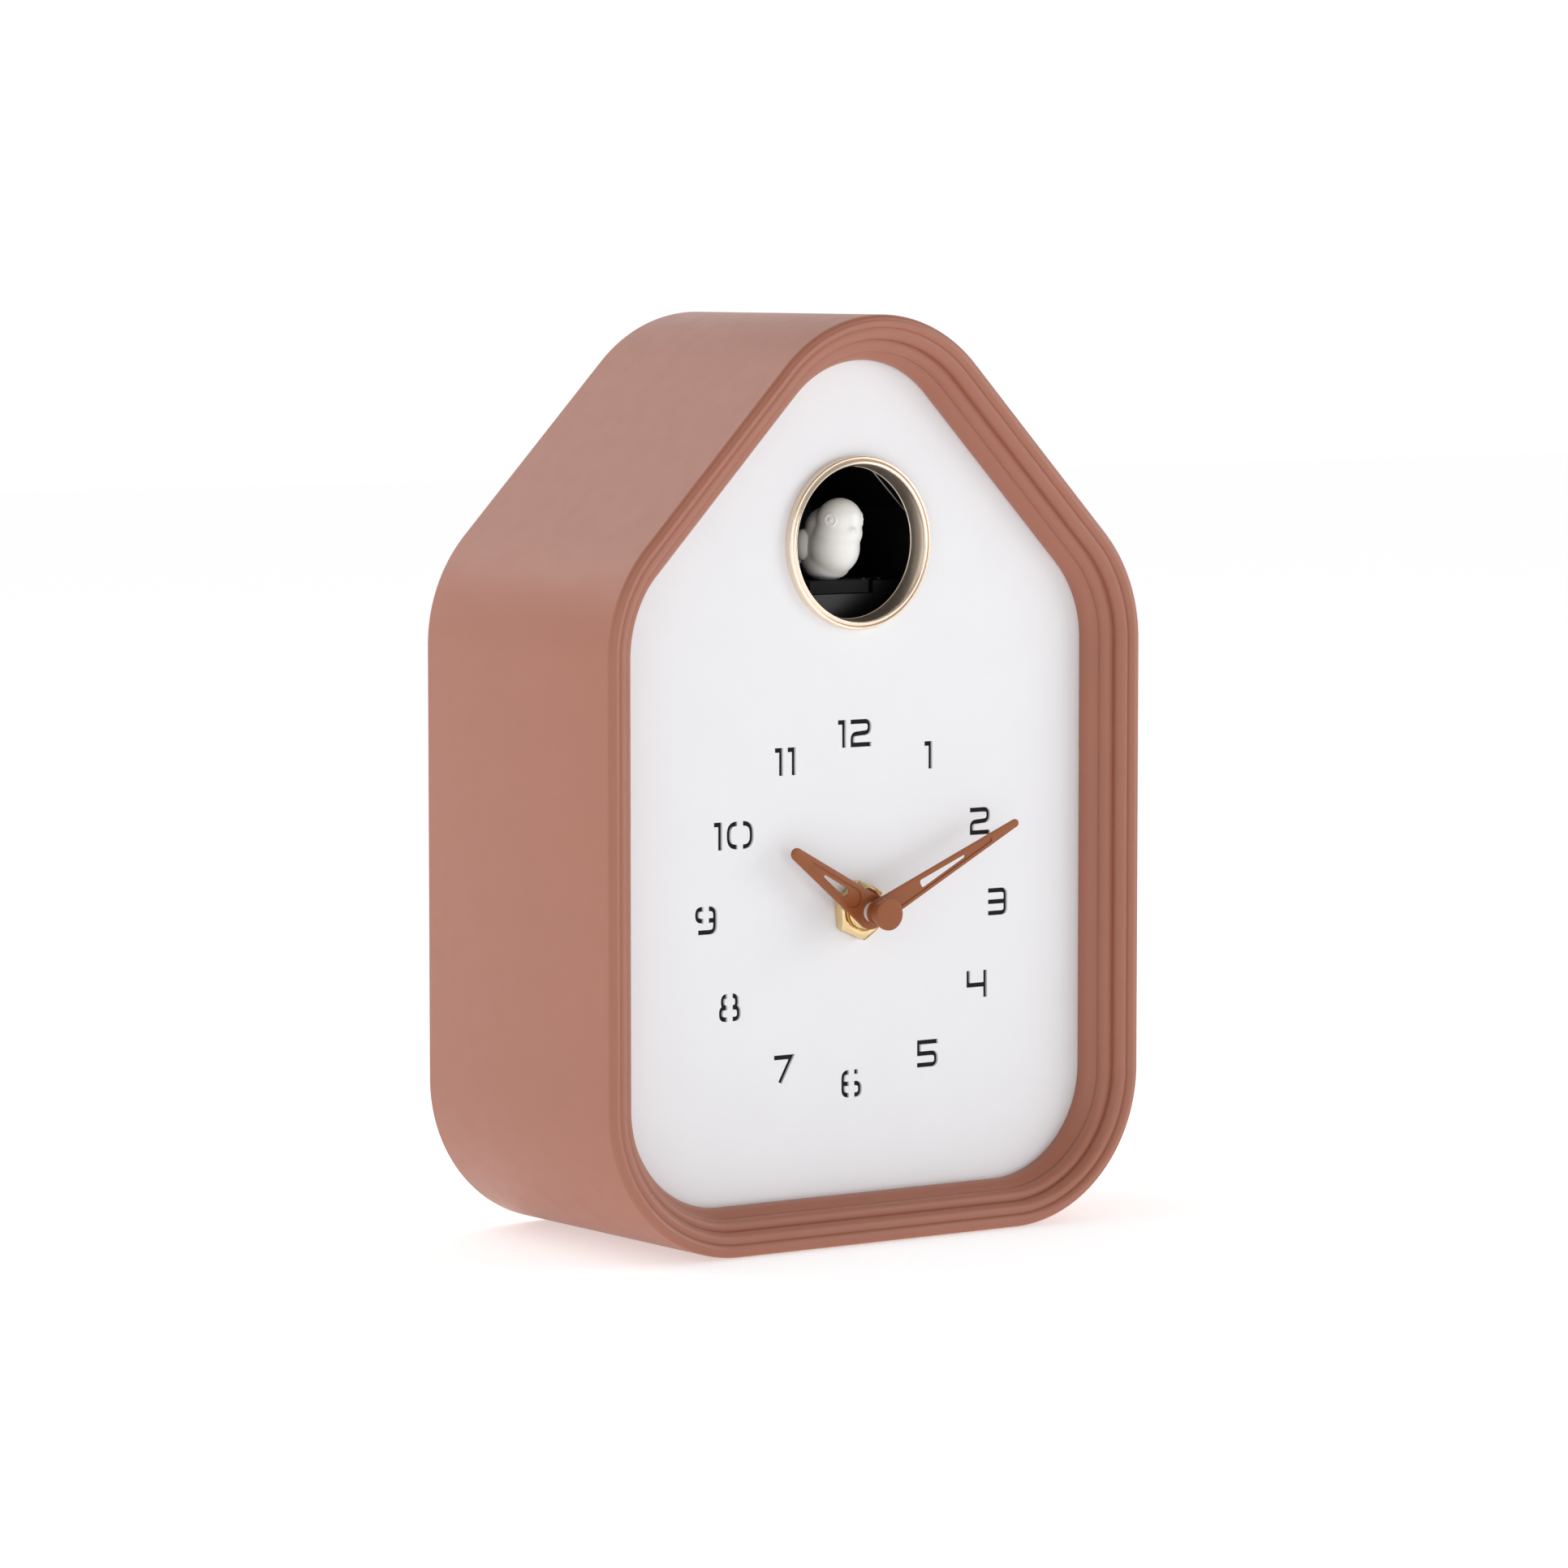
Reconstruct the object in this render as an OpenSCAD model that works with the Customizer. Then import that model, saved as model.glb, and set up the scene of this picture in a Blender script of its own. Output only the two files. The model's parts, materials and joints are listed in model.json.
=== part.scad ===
// Cuckoo clock in the shape of a small house. Units are millimetres.
// Frame: X right, the dial faces -Y, Z up; the origin is on the base, midway between front and back.
// Most parts are drawn facing the viewer (x right, y up, z forward) and stood up by upright().

/* [Case] */
// Width over the side walls
case_w = 148; // [144:1:156]
// Height from the base to the rounded roof peak
case_h = 210; // [206:1:216]
// Depth from the front rim to the back edge
case_d = 75; // [74:1:84]
// Height at which the side walls and the roof slopes would meet if they were sharp
eave_h = 149; // [146:1:152]
// Radius of the two bottom corners
base_r = 35; // [30:1:38]
// Radius of the two eave corners
eave_r = 36; // [30:1:38]
// Radius of the roof peak
peak_r = 36.5; // [32:0.5:40]
// Wall thickness
wall = 2.6; // [2.2:0.1:3]

/* [Dial] */
// Width of the ridged front rim
rim_w = 10; // [9.6:0.1:10.6]
// Distance from the rim's front down to the dial
dial_drop = 10.2; // [9.8:0.1:10.8]
// Height of the hand shaft above the base
hub_h = 75; // [74:0.1:77]
// Radius of the circle through the numerals' centres
numeral_r = 40; // [36:0.5:44]
// Height of a numeral
numeral_h = 6.3; // [5.9:0.1:7]
// Width of a numeral's strokes
stroke_w = 1.05; // [0.8:0.05:1.1]
// Minute hand angle, clockwise from twelve; the hour hand follows it
minute_angle = 64.8; // [0:0.1:359]

/* [Cuckoo] */
// Height of the round bird port above the base
port_h = 158.4; // [156:0.2:160]
// Outer radius of the gold ring round the port
port_ring_r = 19.7; // [19.4:0.1:20.2]
// Inner radius of the gold ring
port_bore_r = 17.3; // [17:0.1:17.5]
// How far the bird travels out of the port
bird_travel = 24; // [18:1:24]

/* [Hands] */
// Length of the minute hand from shaft to tip
minute_len = 44; // [38:0.5:46]
// Length of the hour hand from shaft to tip
hour_len = 26.4; // [22:0.2:30]

/* [Hidden] */
$fn = 48;

front_z = case_d / 2;
dial_z = front_z - dial_drop;
dial_t = 0.6;
backing_t = 1.5;
chassis_t = 2;
backing_z = dial_z - dial_t - backing_t;
chassis_z = backing_z - chassis_t;
hub = [0, hub_h];
cover_z = -front_z + 4.5;
cover_t = 2.2;
cover_back_z = cover_z - cover_t;
gap = 0.3;

terracotta = [0.69, 0.47, 0.40];
ivory = [0.93, 0.93, 0.94];
black = [0.06, 0.06, 0.07];
champagne = [0.90, 0.80, 0.62];
brass = [0.85, 0.66, 0.30];
copper = [0.66, 0.40, 0.29];
steel = [0.72, 0.73, 0.75];
nylon = [0.92, 0.92, 0.90];
board_green = [0.10, 0.35, 0.18];

// ---- House outline: five rounded corners joined by straight sides ----

peak_rise = case_h - peak_r - eave_h;
roof_normal = acos(peak_r / norm([case_w / 2, peak_rise])) - atan2(peak_rise, case_w / 2);
function unit(v) = v / norm(v);
function across(v) = [-v[1], v[0]];
function ray(a) = [cos(a), sin(a)];
// Rounded to a micrometre, so that neighbouring stretches of the case meet exactly
function micron(v) = [for (x = v) round(1000 * x) / 1000];
function corner_centre(v, r, a, b) = micron(v - r * (ray(a) + ray(b)) / (1 + ray(a) * ray(b)));
// Each corner: centre, radius, first and last angle of its arc
corners = [
    [[case_w / 2 - base_r, base_r], base_r, -90, 0],
    [corner_centre([case_w / 2, eave_h], eave_r, 0, roof_normal), eave_r, 0, roof_normal],
    [[0, case_h - peak_r], peak_r, roof_normal, 180 - roof_normal],
    [corner_centre([-case_w / 2, eave_h], eave_r, 180 - roof_normal, 180), eave_r, 180 - roof_normal, 180],
    [[-case_w / 2 + base_r, base_r], base_r, 180, 270]
];
function house(inset, steps = 16) = [
    for (c = corners) for (k = [0:steps]) c[0] + (c[1] - inset) * ray(c[2] + (c[3] - c[2]) * k / steps)
];

module upright() rotate([90, 0, 0]) children();
module slab(z0, z1) translate([0, 0, z0]) linear_extrude(z1 - z0) children();
module rod(p, r, z0, z1) translate([p[0], p[1], z0]) cylinder(h = z1 - z0, r = r);
module block(x0, x1, y0, y1, z0, z1) translate([x0, y0, z0]) cube([x1 - x0, y1 - y0, z1 - z0]);

// Rectangle with rounded corners, centred on the origin
function rounded_box(w, h, r, steps = 4) = [
    for (q = [0:3]) for (k = [0:steps])
        let (a = 90 * q + 90 * k / steps, sx = (q == 0 || q == 3) ? 1 : -1, sy = q < 2 ? 1 : -1)
        [sx * (w / 2 - r), sy * (h / 2 - r)] + r * ray(a)
];

// ---- Case shell: one section swept round the house ----

// Grooves between the rim's ridges: distance in from the outer wall, distance back from the front
grooves = [[1.1, 0], [3, 0.7], [5.6, 2.9], [8.2, 5.4], [rim_w, dial_drop]];
bulges = [0.12, 0.5, 0.55, 0.75];
edge_r = 1.1;
nest_w = rim_w - 2.3;
nest_back = dial_drop + dial_t + backing_t - 0.1;
function ridge(p, q, h, steps = 6) = [
    for (k = [1:steps])
        let (t = k / steps, n = unit([q[1] - p[1], p[0] - q[0]]))
        p + (q - p) * t + n * h * 4 * t * (1 - t)
];
rim_section = concat(
    [for (k = [0:4]) [edge_r, edge_r] - edge_r * ray(90 * k / 4)],
    [for (i = [0:3]) each ridge(grooves[i], grooves[i + 1], bulges[i])],
    [[nest_w, dial_drop], [nest_w, nest_back], [nest_w - 1.5, nest_back], [wall, 6.6]],
    [[wall, case_d], [0.5, case_d], [0, case_d - 0.5]]
);

// Closed outline moved outwards by d
function grown(p, d) = [
    for (i = [0:len(p) - 1])
        let (
            n = len(p),
            a = across(unit(p[i] - p[(i + n - 1) % n])),
            b = across(unit(p[(i + 1) % n] - p[i]))
        )
        p[i] - d * (a + b) / (1 + a * b)
];
band_w = 0.4;
band_proud = 0.02;

module case_sweep() {
    for (c = corners)
        translate(c[0]) rotate([0, 0, c[2]]) rotate_extrude(angle = c[3] - c[2], $fn = 96)
            polygon([for (p = rim_section) [c[1] - p[0], front_z - p[1]]]);
    for (i = [0:4]) {
        c = corners[i];
        d = corners[(i + 1) % 5];
        start = c[0] + c[1] * ray(c[3]);
        end = d[0] + d[1] * ray(c[3]);
        translate(end) rotate([0, 0, c[3]]) rotate([90, 0, 0]) linear_extrude(norm(end - start))
            polygon([for (p = rim_section) [-p[0], front_z - p[1]]]);
    }
    // Bands a hair proud of the section join the stretches at the four ends of the roof slopes
    for (c = corners) for (a = [c[2], c[3]]) if (a % 90 != 0)
        translate(c[0] + c[1] * ray(a)) rotate([0, 0, a]) rotate([90, 0, 0])
            translate([0, 0, -band_w / 2]) linear_extrude(band_w)
                polygon([for (p = grown(rim_section, band_proud)) [-p[0], front_z - p[1]]]);
}

lug_x = case_w / 2 - 5.4;
lug_r = 2.4;
lug_heights = [45, 120];
boss_x = case_w / 2 - 7.4;
boss_r = 3.6;
boss_heights = [40, 125];
screw_r = 1.2;
sensor_y = 120;
sensor_z = -6;
sensor_r = 2.5;

module case_shell() color(terracotta) upright() difference() {
    union() {
        case_sweep();
        for (s = [-1, 1]) {
            for (h = lug_heights) rod([s * lug_x, h], lug_r, chassis_z + chassis_t, front_z - 6.6);
            for (h = boss_heights) {
                rod([s * boss_x, h], boss_r, cover_z + 0.05, cover_z + 22);
                block(min(s * boss_x, s * (case_w / 2 - 1.5)), max(s * boss_x, s * (case_w / 2 - 1.5)),
                    h - 1.2, h + 1.2, cover_z + 0.05, cover_z + 22);
            }
        }
    }
    for (s = [-1, 1]) {
        for (h = lug_heights) rod([s * lug_x, h], screw_r - 0.1, chassis_z + chassis_t - 1, front_z - 8);
        for (h = boss_heights) rod([s * boss_x, h], screw_r, cover_z - 1, cover_z + 14);
    }
    translate([case_w / 2 - 6, sensor_y, sensor_z]) rotate([0, 90, 0]) cylinder(h = 12, r = sensor_r + 0.1);
}

// ---- Numerals, cut through the dial as stencil strokes ----

// Rounds the bend at p1 with a short curve that starts r away from it
function bend(p0, p1, p2, r, steps = 5) = r == 0 ? [p1] : [
    for (k = [0:steps])
        let (t = k / steps, a = p1 + unit(p0 - p1) * r, b = p1 + unit(p2 - p1) * r)
        a * (1 - t) * (1 - t) + p1 * 2 * t * (1 - t) + b * t * t
];
function route(p, r) = concat(
    [p[0]],
    [for (i = [1:1:len(p) - 2]) each bend(p[i - 1], p[i], p[i + 1], r)],
    [p[len(p) - 1]]
);
function side(p, d) = [
    for (i = [0:len(p) - 1])
        let (
            a = across(unit(i == 0 ? p[1] - p[0] : p[i] - p[i - 1])),
            b = across(unit(i == len(p) - 1 ? p[i] - p[i - 1] : p[i + 1] - p[i]))
        )
        p[i] + d * (a + b) / (1 + a * b)
];
function reversed(p) = [for (i = [len(p) - 1:-1:0]) p[i]];
function stroke(p, r = 0) =
    let (c = route(p, r))
    concat(side(c, stroke_w / 2), reversed(side(c, -stroke_w / 2)));

s2 = stroke_w / 2;
top = numeral_h - s2;
mid = numeral_h / 2;
bridge = 0.75;
round_r = 1.1;
// Width of each digit, 0 to 9
digit_w = [7.3, 2.2, 5.8, 5.5, 5.9, 5.9, 5.7, 5.4, 5.9, 5.9];
// Strokes of one digit: each is a list of points and a bend radius; x runs from 0 to the digit's width
function digit(n) =
    let (w = digit_w[n], l = s2, r = w - s2, ga = w / 2 - bridge, gb = w / 2 + bridge)
    n == 0 ? [[[[ga, top], [l, top], [l, s2], [ga, s2]], 2.2],
        [[[gb, top], [r, top], [r, s2], [gb, s2]], 2.2]] :
    n == 1 ? [[[[0, top], [r, top], [r, 0]], 0]] :
    n == 2 ? [[[[0, top], [r, top], [r, mid + 0.1], [l, mid - 0.2], [l, 1.2]], round_r],
        [[[l, 1.3], [l, s2], [w, s2]], 0]] :
    n == 3 ? [[[[0, top], [r, top], [r, s2], [0, s2]], round_r], [[[0, mid], [r, mid]], 0]] :
    n == 4 ? [[[[l, numeral_h], [l, mid - 0.2], [r, mid - 0.2]], 0], [[[r, numeral_h], [r, 0]], 0]] :
    n == 5 ? [[[[w, top], [l, top], [l, mid], [1.5, mid]], 0],
        [[[1.4, mid], [r, mid], [r, s2], [0, s2]], round_r]] :
    n == 6 ? [[[[ga, top], [l, top], [l, s2], [ga, s2]], round_r + 0.25], [[[l, mid], [ga, mid]], 0],
        [[[gb, top], [gb + stroke_w, top]], 0], [[[gb, mid], [r, mid], [r, s2], [gb, s2]], round_r]] :
    n == 7 ? [[[[0, top], [r, top], [w * 0.3, 0]], 0]] :
    n == 8 ? [[[[ga, top], [l + 0.5, top], [l + 0.5, mid], [ga, mid]], round_r],
        [[[ga, mid], [l, mid], [l, s2], [ga, s2]], round_r],
        [[[gb, top], [r - 0.5, top], [r - 0.5, mid], [gb, mid]], round_r],
        [[[gb, mid], [r, mid], [r, s2], [gb, s2]], round_r]] :
    [[[[ga, top], [l, top], [l, mid], [ga, mid]], round_r],
        [[[gb, top], [r, top], [r, s2], [0.8, s2]], round_r + 0.3], [[[gb, mid], [r, mid]], 0]];

digit_gap = 1.3;
// How far each numeral, 1 to 12, stands from its exact place on the circle
nudge = [
    [0.4, -0.3], [0.6, -1.6], [0.4, -0.5], [-0.2, 0.7], [0.3, 0.3], [-1.2, 0.3],
    [-0.1, -0.3], [-0.3, 0], [-1.4, 0], [0.8, -1.3], [0.3, 0], [-0.4, 0.2]
];
module numeral(hour, z0, z1) {
    tens = floor(hour / 10);
    units = hour % 10;
    lead = tens > 0 ? digit_w[tens] + digit_gap : 0;
    full = lead + digit_w[units];
    a = 30 * hour;
    place = hub + numeral_r * [sin(a), cos(a)] + nudge[hour - 1] - [full, numeral_h] / 2;
    translate([place[0], place[1], 0]) {
        if (tens > 0) for (s = digit(tens)) slab(z0, z1) polygon(stroke(s[0], s[1]));
        translate([lead, 0, 0]) for (s = digit(units)) slab(z0, z1) polygon(stroke(s[0], s[1]));
    }
}

// ---- Dial, its black backing, the port ring and the chassis ----

bush_r = 4.1;
tube_r = port_bore_r + 0.7;

module dial_plate() color(ivory) upright() difference() {
    slab(dial_z - dial_t, dial_z) polygon(house(nest_w + 0.1));
    for (hour = [1:12]) numeral(hour, dial_z - dial_t - 1, dial_z + 1);
    rod([0, port_h], tube_r + 0.05, dial_z - dial_t - 1, dial_z + 1);
    rod([0, hub_h], bush_r + 0.1, dial_z - dial_t - 1, dial_z + 1);
}

module dial_backing() color(black) upright() difference() {
    slab(backing_z, backing_z + backing_t) polygon(house(nest_w + 0.1));
    rod([0, port_h], tube_r + 0.05, backing_z - 1, backing_z + 2);
    rod([0, hub_h], bush_r + 0.1, backing_z - 1, backing_z + 2);
}

ring_proud = 2.2;
ring_back = 3;
module port_ring() color(champagne) upright() translate([0, port_h, dial_z]) rotate_extrude($fn = 96)
    polygon(concat(
        [[port_bore_r, -ring_back], [tube_r, -ring_back], [tube_r, 0], [port_ring_r, 0]],
        [[port_ring_r, ring_proud - 0.75], [port_ring_r - 0.12, ring_proud - 0.45]],
        [[port_ring_r - 0.4, ring_proud - 0.25], [port_ring_r - 0.62, ring_proud - 0.22]],
        [[port_ring_r - 0.7, ring_proud - 0.45], [port_ring_r - 0.78, ring_proud - 0.22]],
        [for (k = [0:6]) [port_ring_r - 1.59, ring_proud - 0.7] + [0.81 * cos(30 * k), 0.7 * sin(30 * k)]]
    ));

port_hole_r = tube_r + 0.4;
shaft_hole_r = bush_r + 0.15;
chamber_hole = [26, 24.6];
chassis_edge = 3;
module chassis() color(black) upright() difference() {
    slab(chassis_z, chassis_z + chassis_t) polygon(house(chassis_edge));
    rod([0, port_h], port_hole_r, chassis_z - 1, chassis_z + chassis_t + 1);
    rod([0, hub_h], shaft_hole_r, chassis_z - 1, chassis_z + chassis_t + 1);
    for (s = [-1, 1]) {
        for (h = lug_heights) rod([s * lug_x, h], screw_r + 0.2, chassis_z - 1, chassis_z + chassis_t + 1);
        for (t = [-1, 1])
            rod([s * chamber_hole[0], port_h + t * chamber_hole[1]], 1,
                chassis_z - 1, chassis_z + chassis_t + 1);
    }
}

// Pan-head screw pointing forward: shank from z0 to z1, head behind z0
module screw(p, shank_r, head_r, z0, z1, head_h = 1.6) difference() {
    union() {
        rod(p, shank_r, z0, z1);
        translate([p[0], p[1], z0 - head_h]) cylinder(h = head_h, r1 = head_r - 0.4, r2 = head_r);
    }
    translate([p[0], p[1], z0 - head_h - 0.1]) for (a = [0, 90]) rotate([0, 0, a])
        translate([-head_r * 0.55, -0.3, 0]) cube([head_r * 1.1, 0.6, 0.9]);
}

module chassis_screws() color(steel) upright()
    for (s = [-1, 1]) for (h = lug_heights)
        screw([s * lug_x, h], screw_r - 0.12, 2.3, chassis_z, front_z - 9);

// ---- Hands and what holds them ----

washer_t = 0.5;
nut_z = dial_z + washer_t;
nut_h = 2.7;
bush_end = dial_z + 4.9;
hour_z = dial_z + 5.3;
hand_t = 0.7;
hour_tube_r = 2.3;
hour_tube_end = dial_z + 7.6;
minute_z = dial_z + 7.9;
arbor_r = 1.55;
cap_z = dial_z + 12;
cap_t = 1.1;

module dial_washer() color(brass) upright() difference() {
    rod(hub, 5.9, dial_z, nut_z);
    rod(hub, bush_r + 0.15, dial_z - 1, nut_z + 1);
}

nut_corner = 6.9;
// Hexagon with its front corners turned off at a slant
module shaft_nut() color(brass) upright() difference() {
    intersection() {
        translate([0, hub_h, nut_z]) rotate([0, 0, 36]) cylinder(h = nut_h, r = nut_corner, $fn = 6);
        translate([0, hub_h, nut_z]) rotate_extrude() polygon([
            [0, -1], [nut_corner + 0.1, -1], [nut_corner + 0.1, nut_h - 0.75],
            [nut_corner - 1.25, nut_h], [0, nut_h]
        ]);
    }
    rod(hub, bush_r + 0.02, nut_z - 1, nut_z + nut_h + 1);
}

// Tapered hand pointing up: half-widths at the shaft and tip, a raised edge round a recess, and a slot.
// slot and recess are the heights of their near and far ends; boss_r is the raised ring round the shaft.
module hand(len, root_hw, tip_hw, edge, slot, slot_hw, recess, boss_r) {
    tip = len - tip_hw;
    slot_tip = 0.35;
    inner = function (y) root_hw + (tip_hw - root_hw) * y / tip - edge;
    near = recess[0] + inner(recess[0]);
    far = recess[1] - inner(recess[1]);
    difference() {
        union() {
            linear_extrude(hand_t) polygon(concat(
                [for (k = [0:12]) root_hw * ray(180 + 180 * k / 12)],
                [for (k = [0:8]) [0, tip] + tip_hw * ray(180 * k / 8)]
            ));
            cylinder(h = hand_t + boss_h, r = boss_r);
        }
        translate([0, 0, -1]) linear_extrude(hand_t + 3) polygon([
            [-slot_hw * 0.65, slot[0]], [slot_hw * 0.65, slot[0]], [slot_hw, slot[0] + 0.4],
            [slot_tip, slot[1] - 0.4], [0, slot[1]], [-slot_tip, slot[1] - 0.4], [-slot_hw, slot[0] + 0.4]
        ]);
        translate([0, 0, hand_t - 0.2]) linear_extrude(3) difference() {
            polygon(concat(
                [for (k = [0:8]) [0, near] + inner(near) * ray(180 + 180 * k / 8)],
                [for (k = [0:8]) [0, far] + inner(far) * ray(180 * k / 8)]
            ));
            circle(r = boss_r);
        }
    }
}

boss_h = 0.15;
// The hour hand is pressed on a little behind its exact place
hour_slip = 0.8;
module hour_hand() color(copper) upright() difference() {
    translate([0, hub_h, hour_z]) rotate([0, 0, 60 - minute_angle / 12 + hour_slip])
        hand(hour_len, 4, 1.45, 1.15, [7.8, 15.8], 1.05, [3.6, 20.6], 2.9);
    rod(hub, hour_tube_r + 0.02, hour_z - 1, hour_z + 3);
}

module minute_hand() color(copper) upright() difference() {
    translate([0, hub_h, minute_z]) rotate([0, 0, -minute_angle])
        hand(minute_len, 2.85, 0.9, 0.75, [13.4, 27.3], 0.98, [3.4, 35.5], 2.6);
    rod(hub, arbor_r + 0.02, minute_z - 1, minute_z + 3);
}

cap_r = 3.65;
// Cap of the minute hand: neck, collar and disc, with a blind hole for the arbor
module hub_cap() color(copper) upright() translate([0, hub_h, 0]) rotate_extrude()
    polygon([
        [0, cap_z - 1.2], [arbor_r + 0.02, cap_z - 1.2], [arbor_r + 0.02, minute_z + hand_t + 0.3],
        [2.6, minute_z + hand_t + 0.3], [2.6, cap_z - 1.7], [3.2, cap_z - 1.7], [3.2, cap_z],
        [cap_r - 0.2, cap_z], [cap_r, cap_z + 0.25], [cap_r, cap_z + cap_t - 0.3],
        [cap_r - 0.3, cap_z + cap_t], [0, cap_z + cap_t]
    ]);

// ---- Gears ----

// Tooth outline: straight flanks, thinner than half the pitch so that meshing pairs run free
function gear_points(n, m, phase) = [
    for (i = [0:n - 1])
        let (c = phase + i * 360 / n, r = m * n / 2, t = 0.1 * 360 / n, b = 0.27 * 360 / n)
        each [(r - 1.1 * m) * ray(c - b), (r + 0.8 * m) * ray(c - t),
            (r + 0.8 * m) * ray(c + t), (r - 1.1 * m) * ray(c + b)]
];
module gear(n, m, phase, z0, z1) slab(z0, z1) polygon(gear_points(n, m, phase));
// Phase of a gear with nb teeth that meshes, in direction a, with one of na teeth and phase pa
function meshed(na, pa, a, nb) = a + 180 - (0.5 - (a - pa) * na / 360) * 360 / nb;

// ---- Quartz movement: box, bush, motion work and going train ----

move_w = 56;
move_z0 = chassis_z - 16;
move_split = chassis_z - 7;
move_wall = 1.2;
pivot_r = 0.5;
pivot_hole = 0.56;
pivot_z0 = move_z0 + 0.7;
pivot_z1 = chassis_z - 0.7;

// Teeth and modules
motion_m = 0.5;
hour_m = 0.48;
cannon_teeth = 12;
minute_teeth = 36;
minute_pinion_teeth = 10;
hour_teeth = 40;
set_teeth = 18;
train_m = [0.3, 0.25, 0.22, 0.2];
centre_teeth = 64;
third_pinion = 8;
third_teeth = 60;
fourth_pinion = 8;
fourth_teeth = 60;
fifth_pinion = 10;
fifth_teeth = 50;
rotor_pinion = 10;

// Directions from one wheel to the next, and the wheels' centres
minute_dir = 30;
set_dir = 100;
third_dir = 205;
fourth_dir = 300;
fifth_dir = 350;
rotor_dir = 340;
minute_c = hub + motion_m * (cannon_teeth + minute_teeth) / 2 * ray(minute_dir);
set_c = minute_c + motion_m * (minute_teeth + set_teeth) / 2 * ray(set_dir);
third_c = hub + train_m[0] * (centre_teeth + third_pinion) / 2 * ray(third_dir);
fourth_c = third_c + train_m[1] * (third_teeth + fourth_pinion) / 2 * ray(fourth_dir);
fifth_c = fourth_c + train_m[2] * (fourth_teeth + fifth_pinion) / 2 * ray(fifth_dir);
rotor_c = fifth_c + train_m[3] * (fifth_teeth + rotor_pinion) / 2 * ray(rotor_dir);

// Heights of the gear planes
hour_plane = [chassis_z - 4.2, chassis_z - 3];
minute_plane = [chassis_z - 6, chassis_z - 4.8];
centre_plane = [chassis_z - 8.7, chassis_z - 7.9];
third_plane = [chassis_z - 10.6, chassis_z - 10];
fourth_plane = [chassis_z - 12.6, chassis_z - 12];
fifth_plane = [chassis_z - 14.4, chassis_z - 13.8];
over = 0.3;

module movement_box(z0, z1, floor_z0, floor_z1) difference() {
    slab(z0, z1) translate(hub) polygon(rounded_box(move_w, move_w, 4));
    slab(floor_z0, floor_z1) translate(hub)
        polygon(rounded_box(move_w - 2 * move_wall, move_w - 2 * move_wall, 3));
}
module pivots(z0, z1) for (c = [minute_c, third_c, fourth_c, fifth_c, rotor_c]) rod(c, pivot_hole, z0, z1);

module movement_front() color(black) upright() difference() {
    movement_box(move_split, chassis_z, move_split - 1, chassis_z - move_wall);
    rod(hub, bush_r + 0.02, chassis_z - 3, chassis_z + 1);
    pivots(chassis_z - 2, pivot_z1 + 0.05);
}

module movement_rear() color(black) upright() difference() {
    movement_box(move_z0, move_split, move_z0 + move_wall, move_split + 1);
    pivots(pivot_z0 - 0.05, move_z0 + 3);
    rod(hub, arbor_r - 0.5 + 0.05, move_z0 + 0.4, move_z0 + 3);
    rod(set_c, set_shaft_r + 0.08, move_z0 - 1, move_z0 + 3);
}

module shaft_bush() color(brass) upright() translate([0, hub_h, 0]) rotate_extrude()
    polygon(concat(
        [[hour_tube_r + 0.06, chassis_z - move_wall - 0.6], [bush_r + 1.6, chassis_z - move_wall - 0.6]],
        [[bush_r + 1.6, chassis_z - move_wall - 0.02], [bush_r, chassis_z - move_wall - 0.02]],
        [[bush_r, nut_z + nut_h]],
        [for (k = [0:2]) each [
            [bush_r - 0.25, nut_z + nut_h + 0.2 + 0.5 * k], [bush_r, nut_z + nut_h + 0.45 + 0.5 * k]]],
        [[bush_r - 0.3, bush_end], [hour_tube_r + 0.06, bush_end]]
    ));

cannon_phase = 0;
minute_phase = meshed(cannon_teeth, cannon_phase, minute_dir, minute_teeth);
minute_pinion_phase = 0;
hour_phase = meshed(minute_pinion_teeth, minute_pinion_phase, minute_dir + 180, hour_teeth);
set_phase = meshed(minute_teeth, minute_phase, set_dir, set_teeth);
third_pinion_phase = meshed(centre_teeth, 0, third_dir, third_pinion);
fourth_pinion_phase = meshed(third_teeth, 0, fourth_dir, fourth_pinion);
fifth_pinion_phase = meshed(fourth_teeth, 0, fifth_dir, fifth_pinion);
rotor_pinion_phase = meshed(fifth_teeth, 0, rotor_dir, rotor_pinion);

module minute_arbor() color(brass) upright() {
    rod(hub, arbor_r, centre_plane[0] - 1, cap_z - 1.3);
    rod(hub, arbor_r - 0.5, move_z0 + 0.5, centre_plane[0] - 1);
    translate(hub) gear(cannon_teeth, motion_m, cannon_phase, minute_plane[0] - over, minute_plane[1] + over);
}

module hour_wheel() color(nylon) upright() difference() {
    union() {
        translate(hub) gear(hour_teeth, hour_m, hour_phase, hour_plane[0], hour_plane[1]);
        rod(hub, hour_tube_r, hour_plane[0], hour_tube_end);
    }
    rod(hub, arbor_r + 0.05, hour_plane[0] - 1, hour_tube_end + 1);
}

module minute_wheel() color(nylon) upright() translate(minute_c) {
    gear(minute_teeth, motion_m, minute_phase, minute_plane[0], minute_plane[1]);
    gear(minute_pinion_teeth, hour_m, minute_pinion_phase, minute_plane[1], hour_plane[1] + over);
    rod([0, 0], pivot_r, pivot_z0, pivot_z1);
}

set_shaft_r = 1.5;
module set_pinion() color(nylon) upright() translate(set_c) {
    gear(set_teeth, motion_m, set_phase, minute_plane[0], minute_plane[1]);
    rod([0, 0], set_shaft_r, cover_back_z - 0.2, minute_plane[0]);
    rod([0, 0], 1, minute_plane[1], chassis_z - move_wall - 0.1);
}

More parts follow.
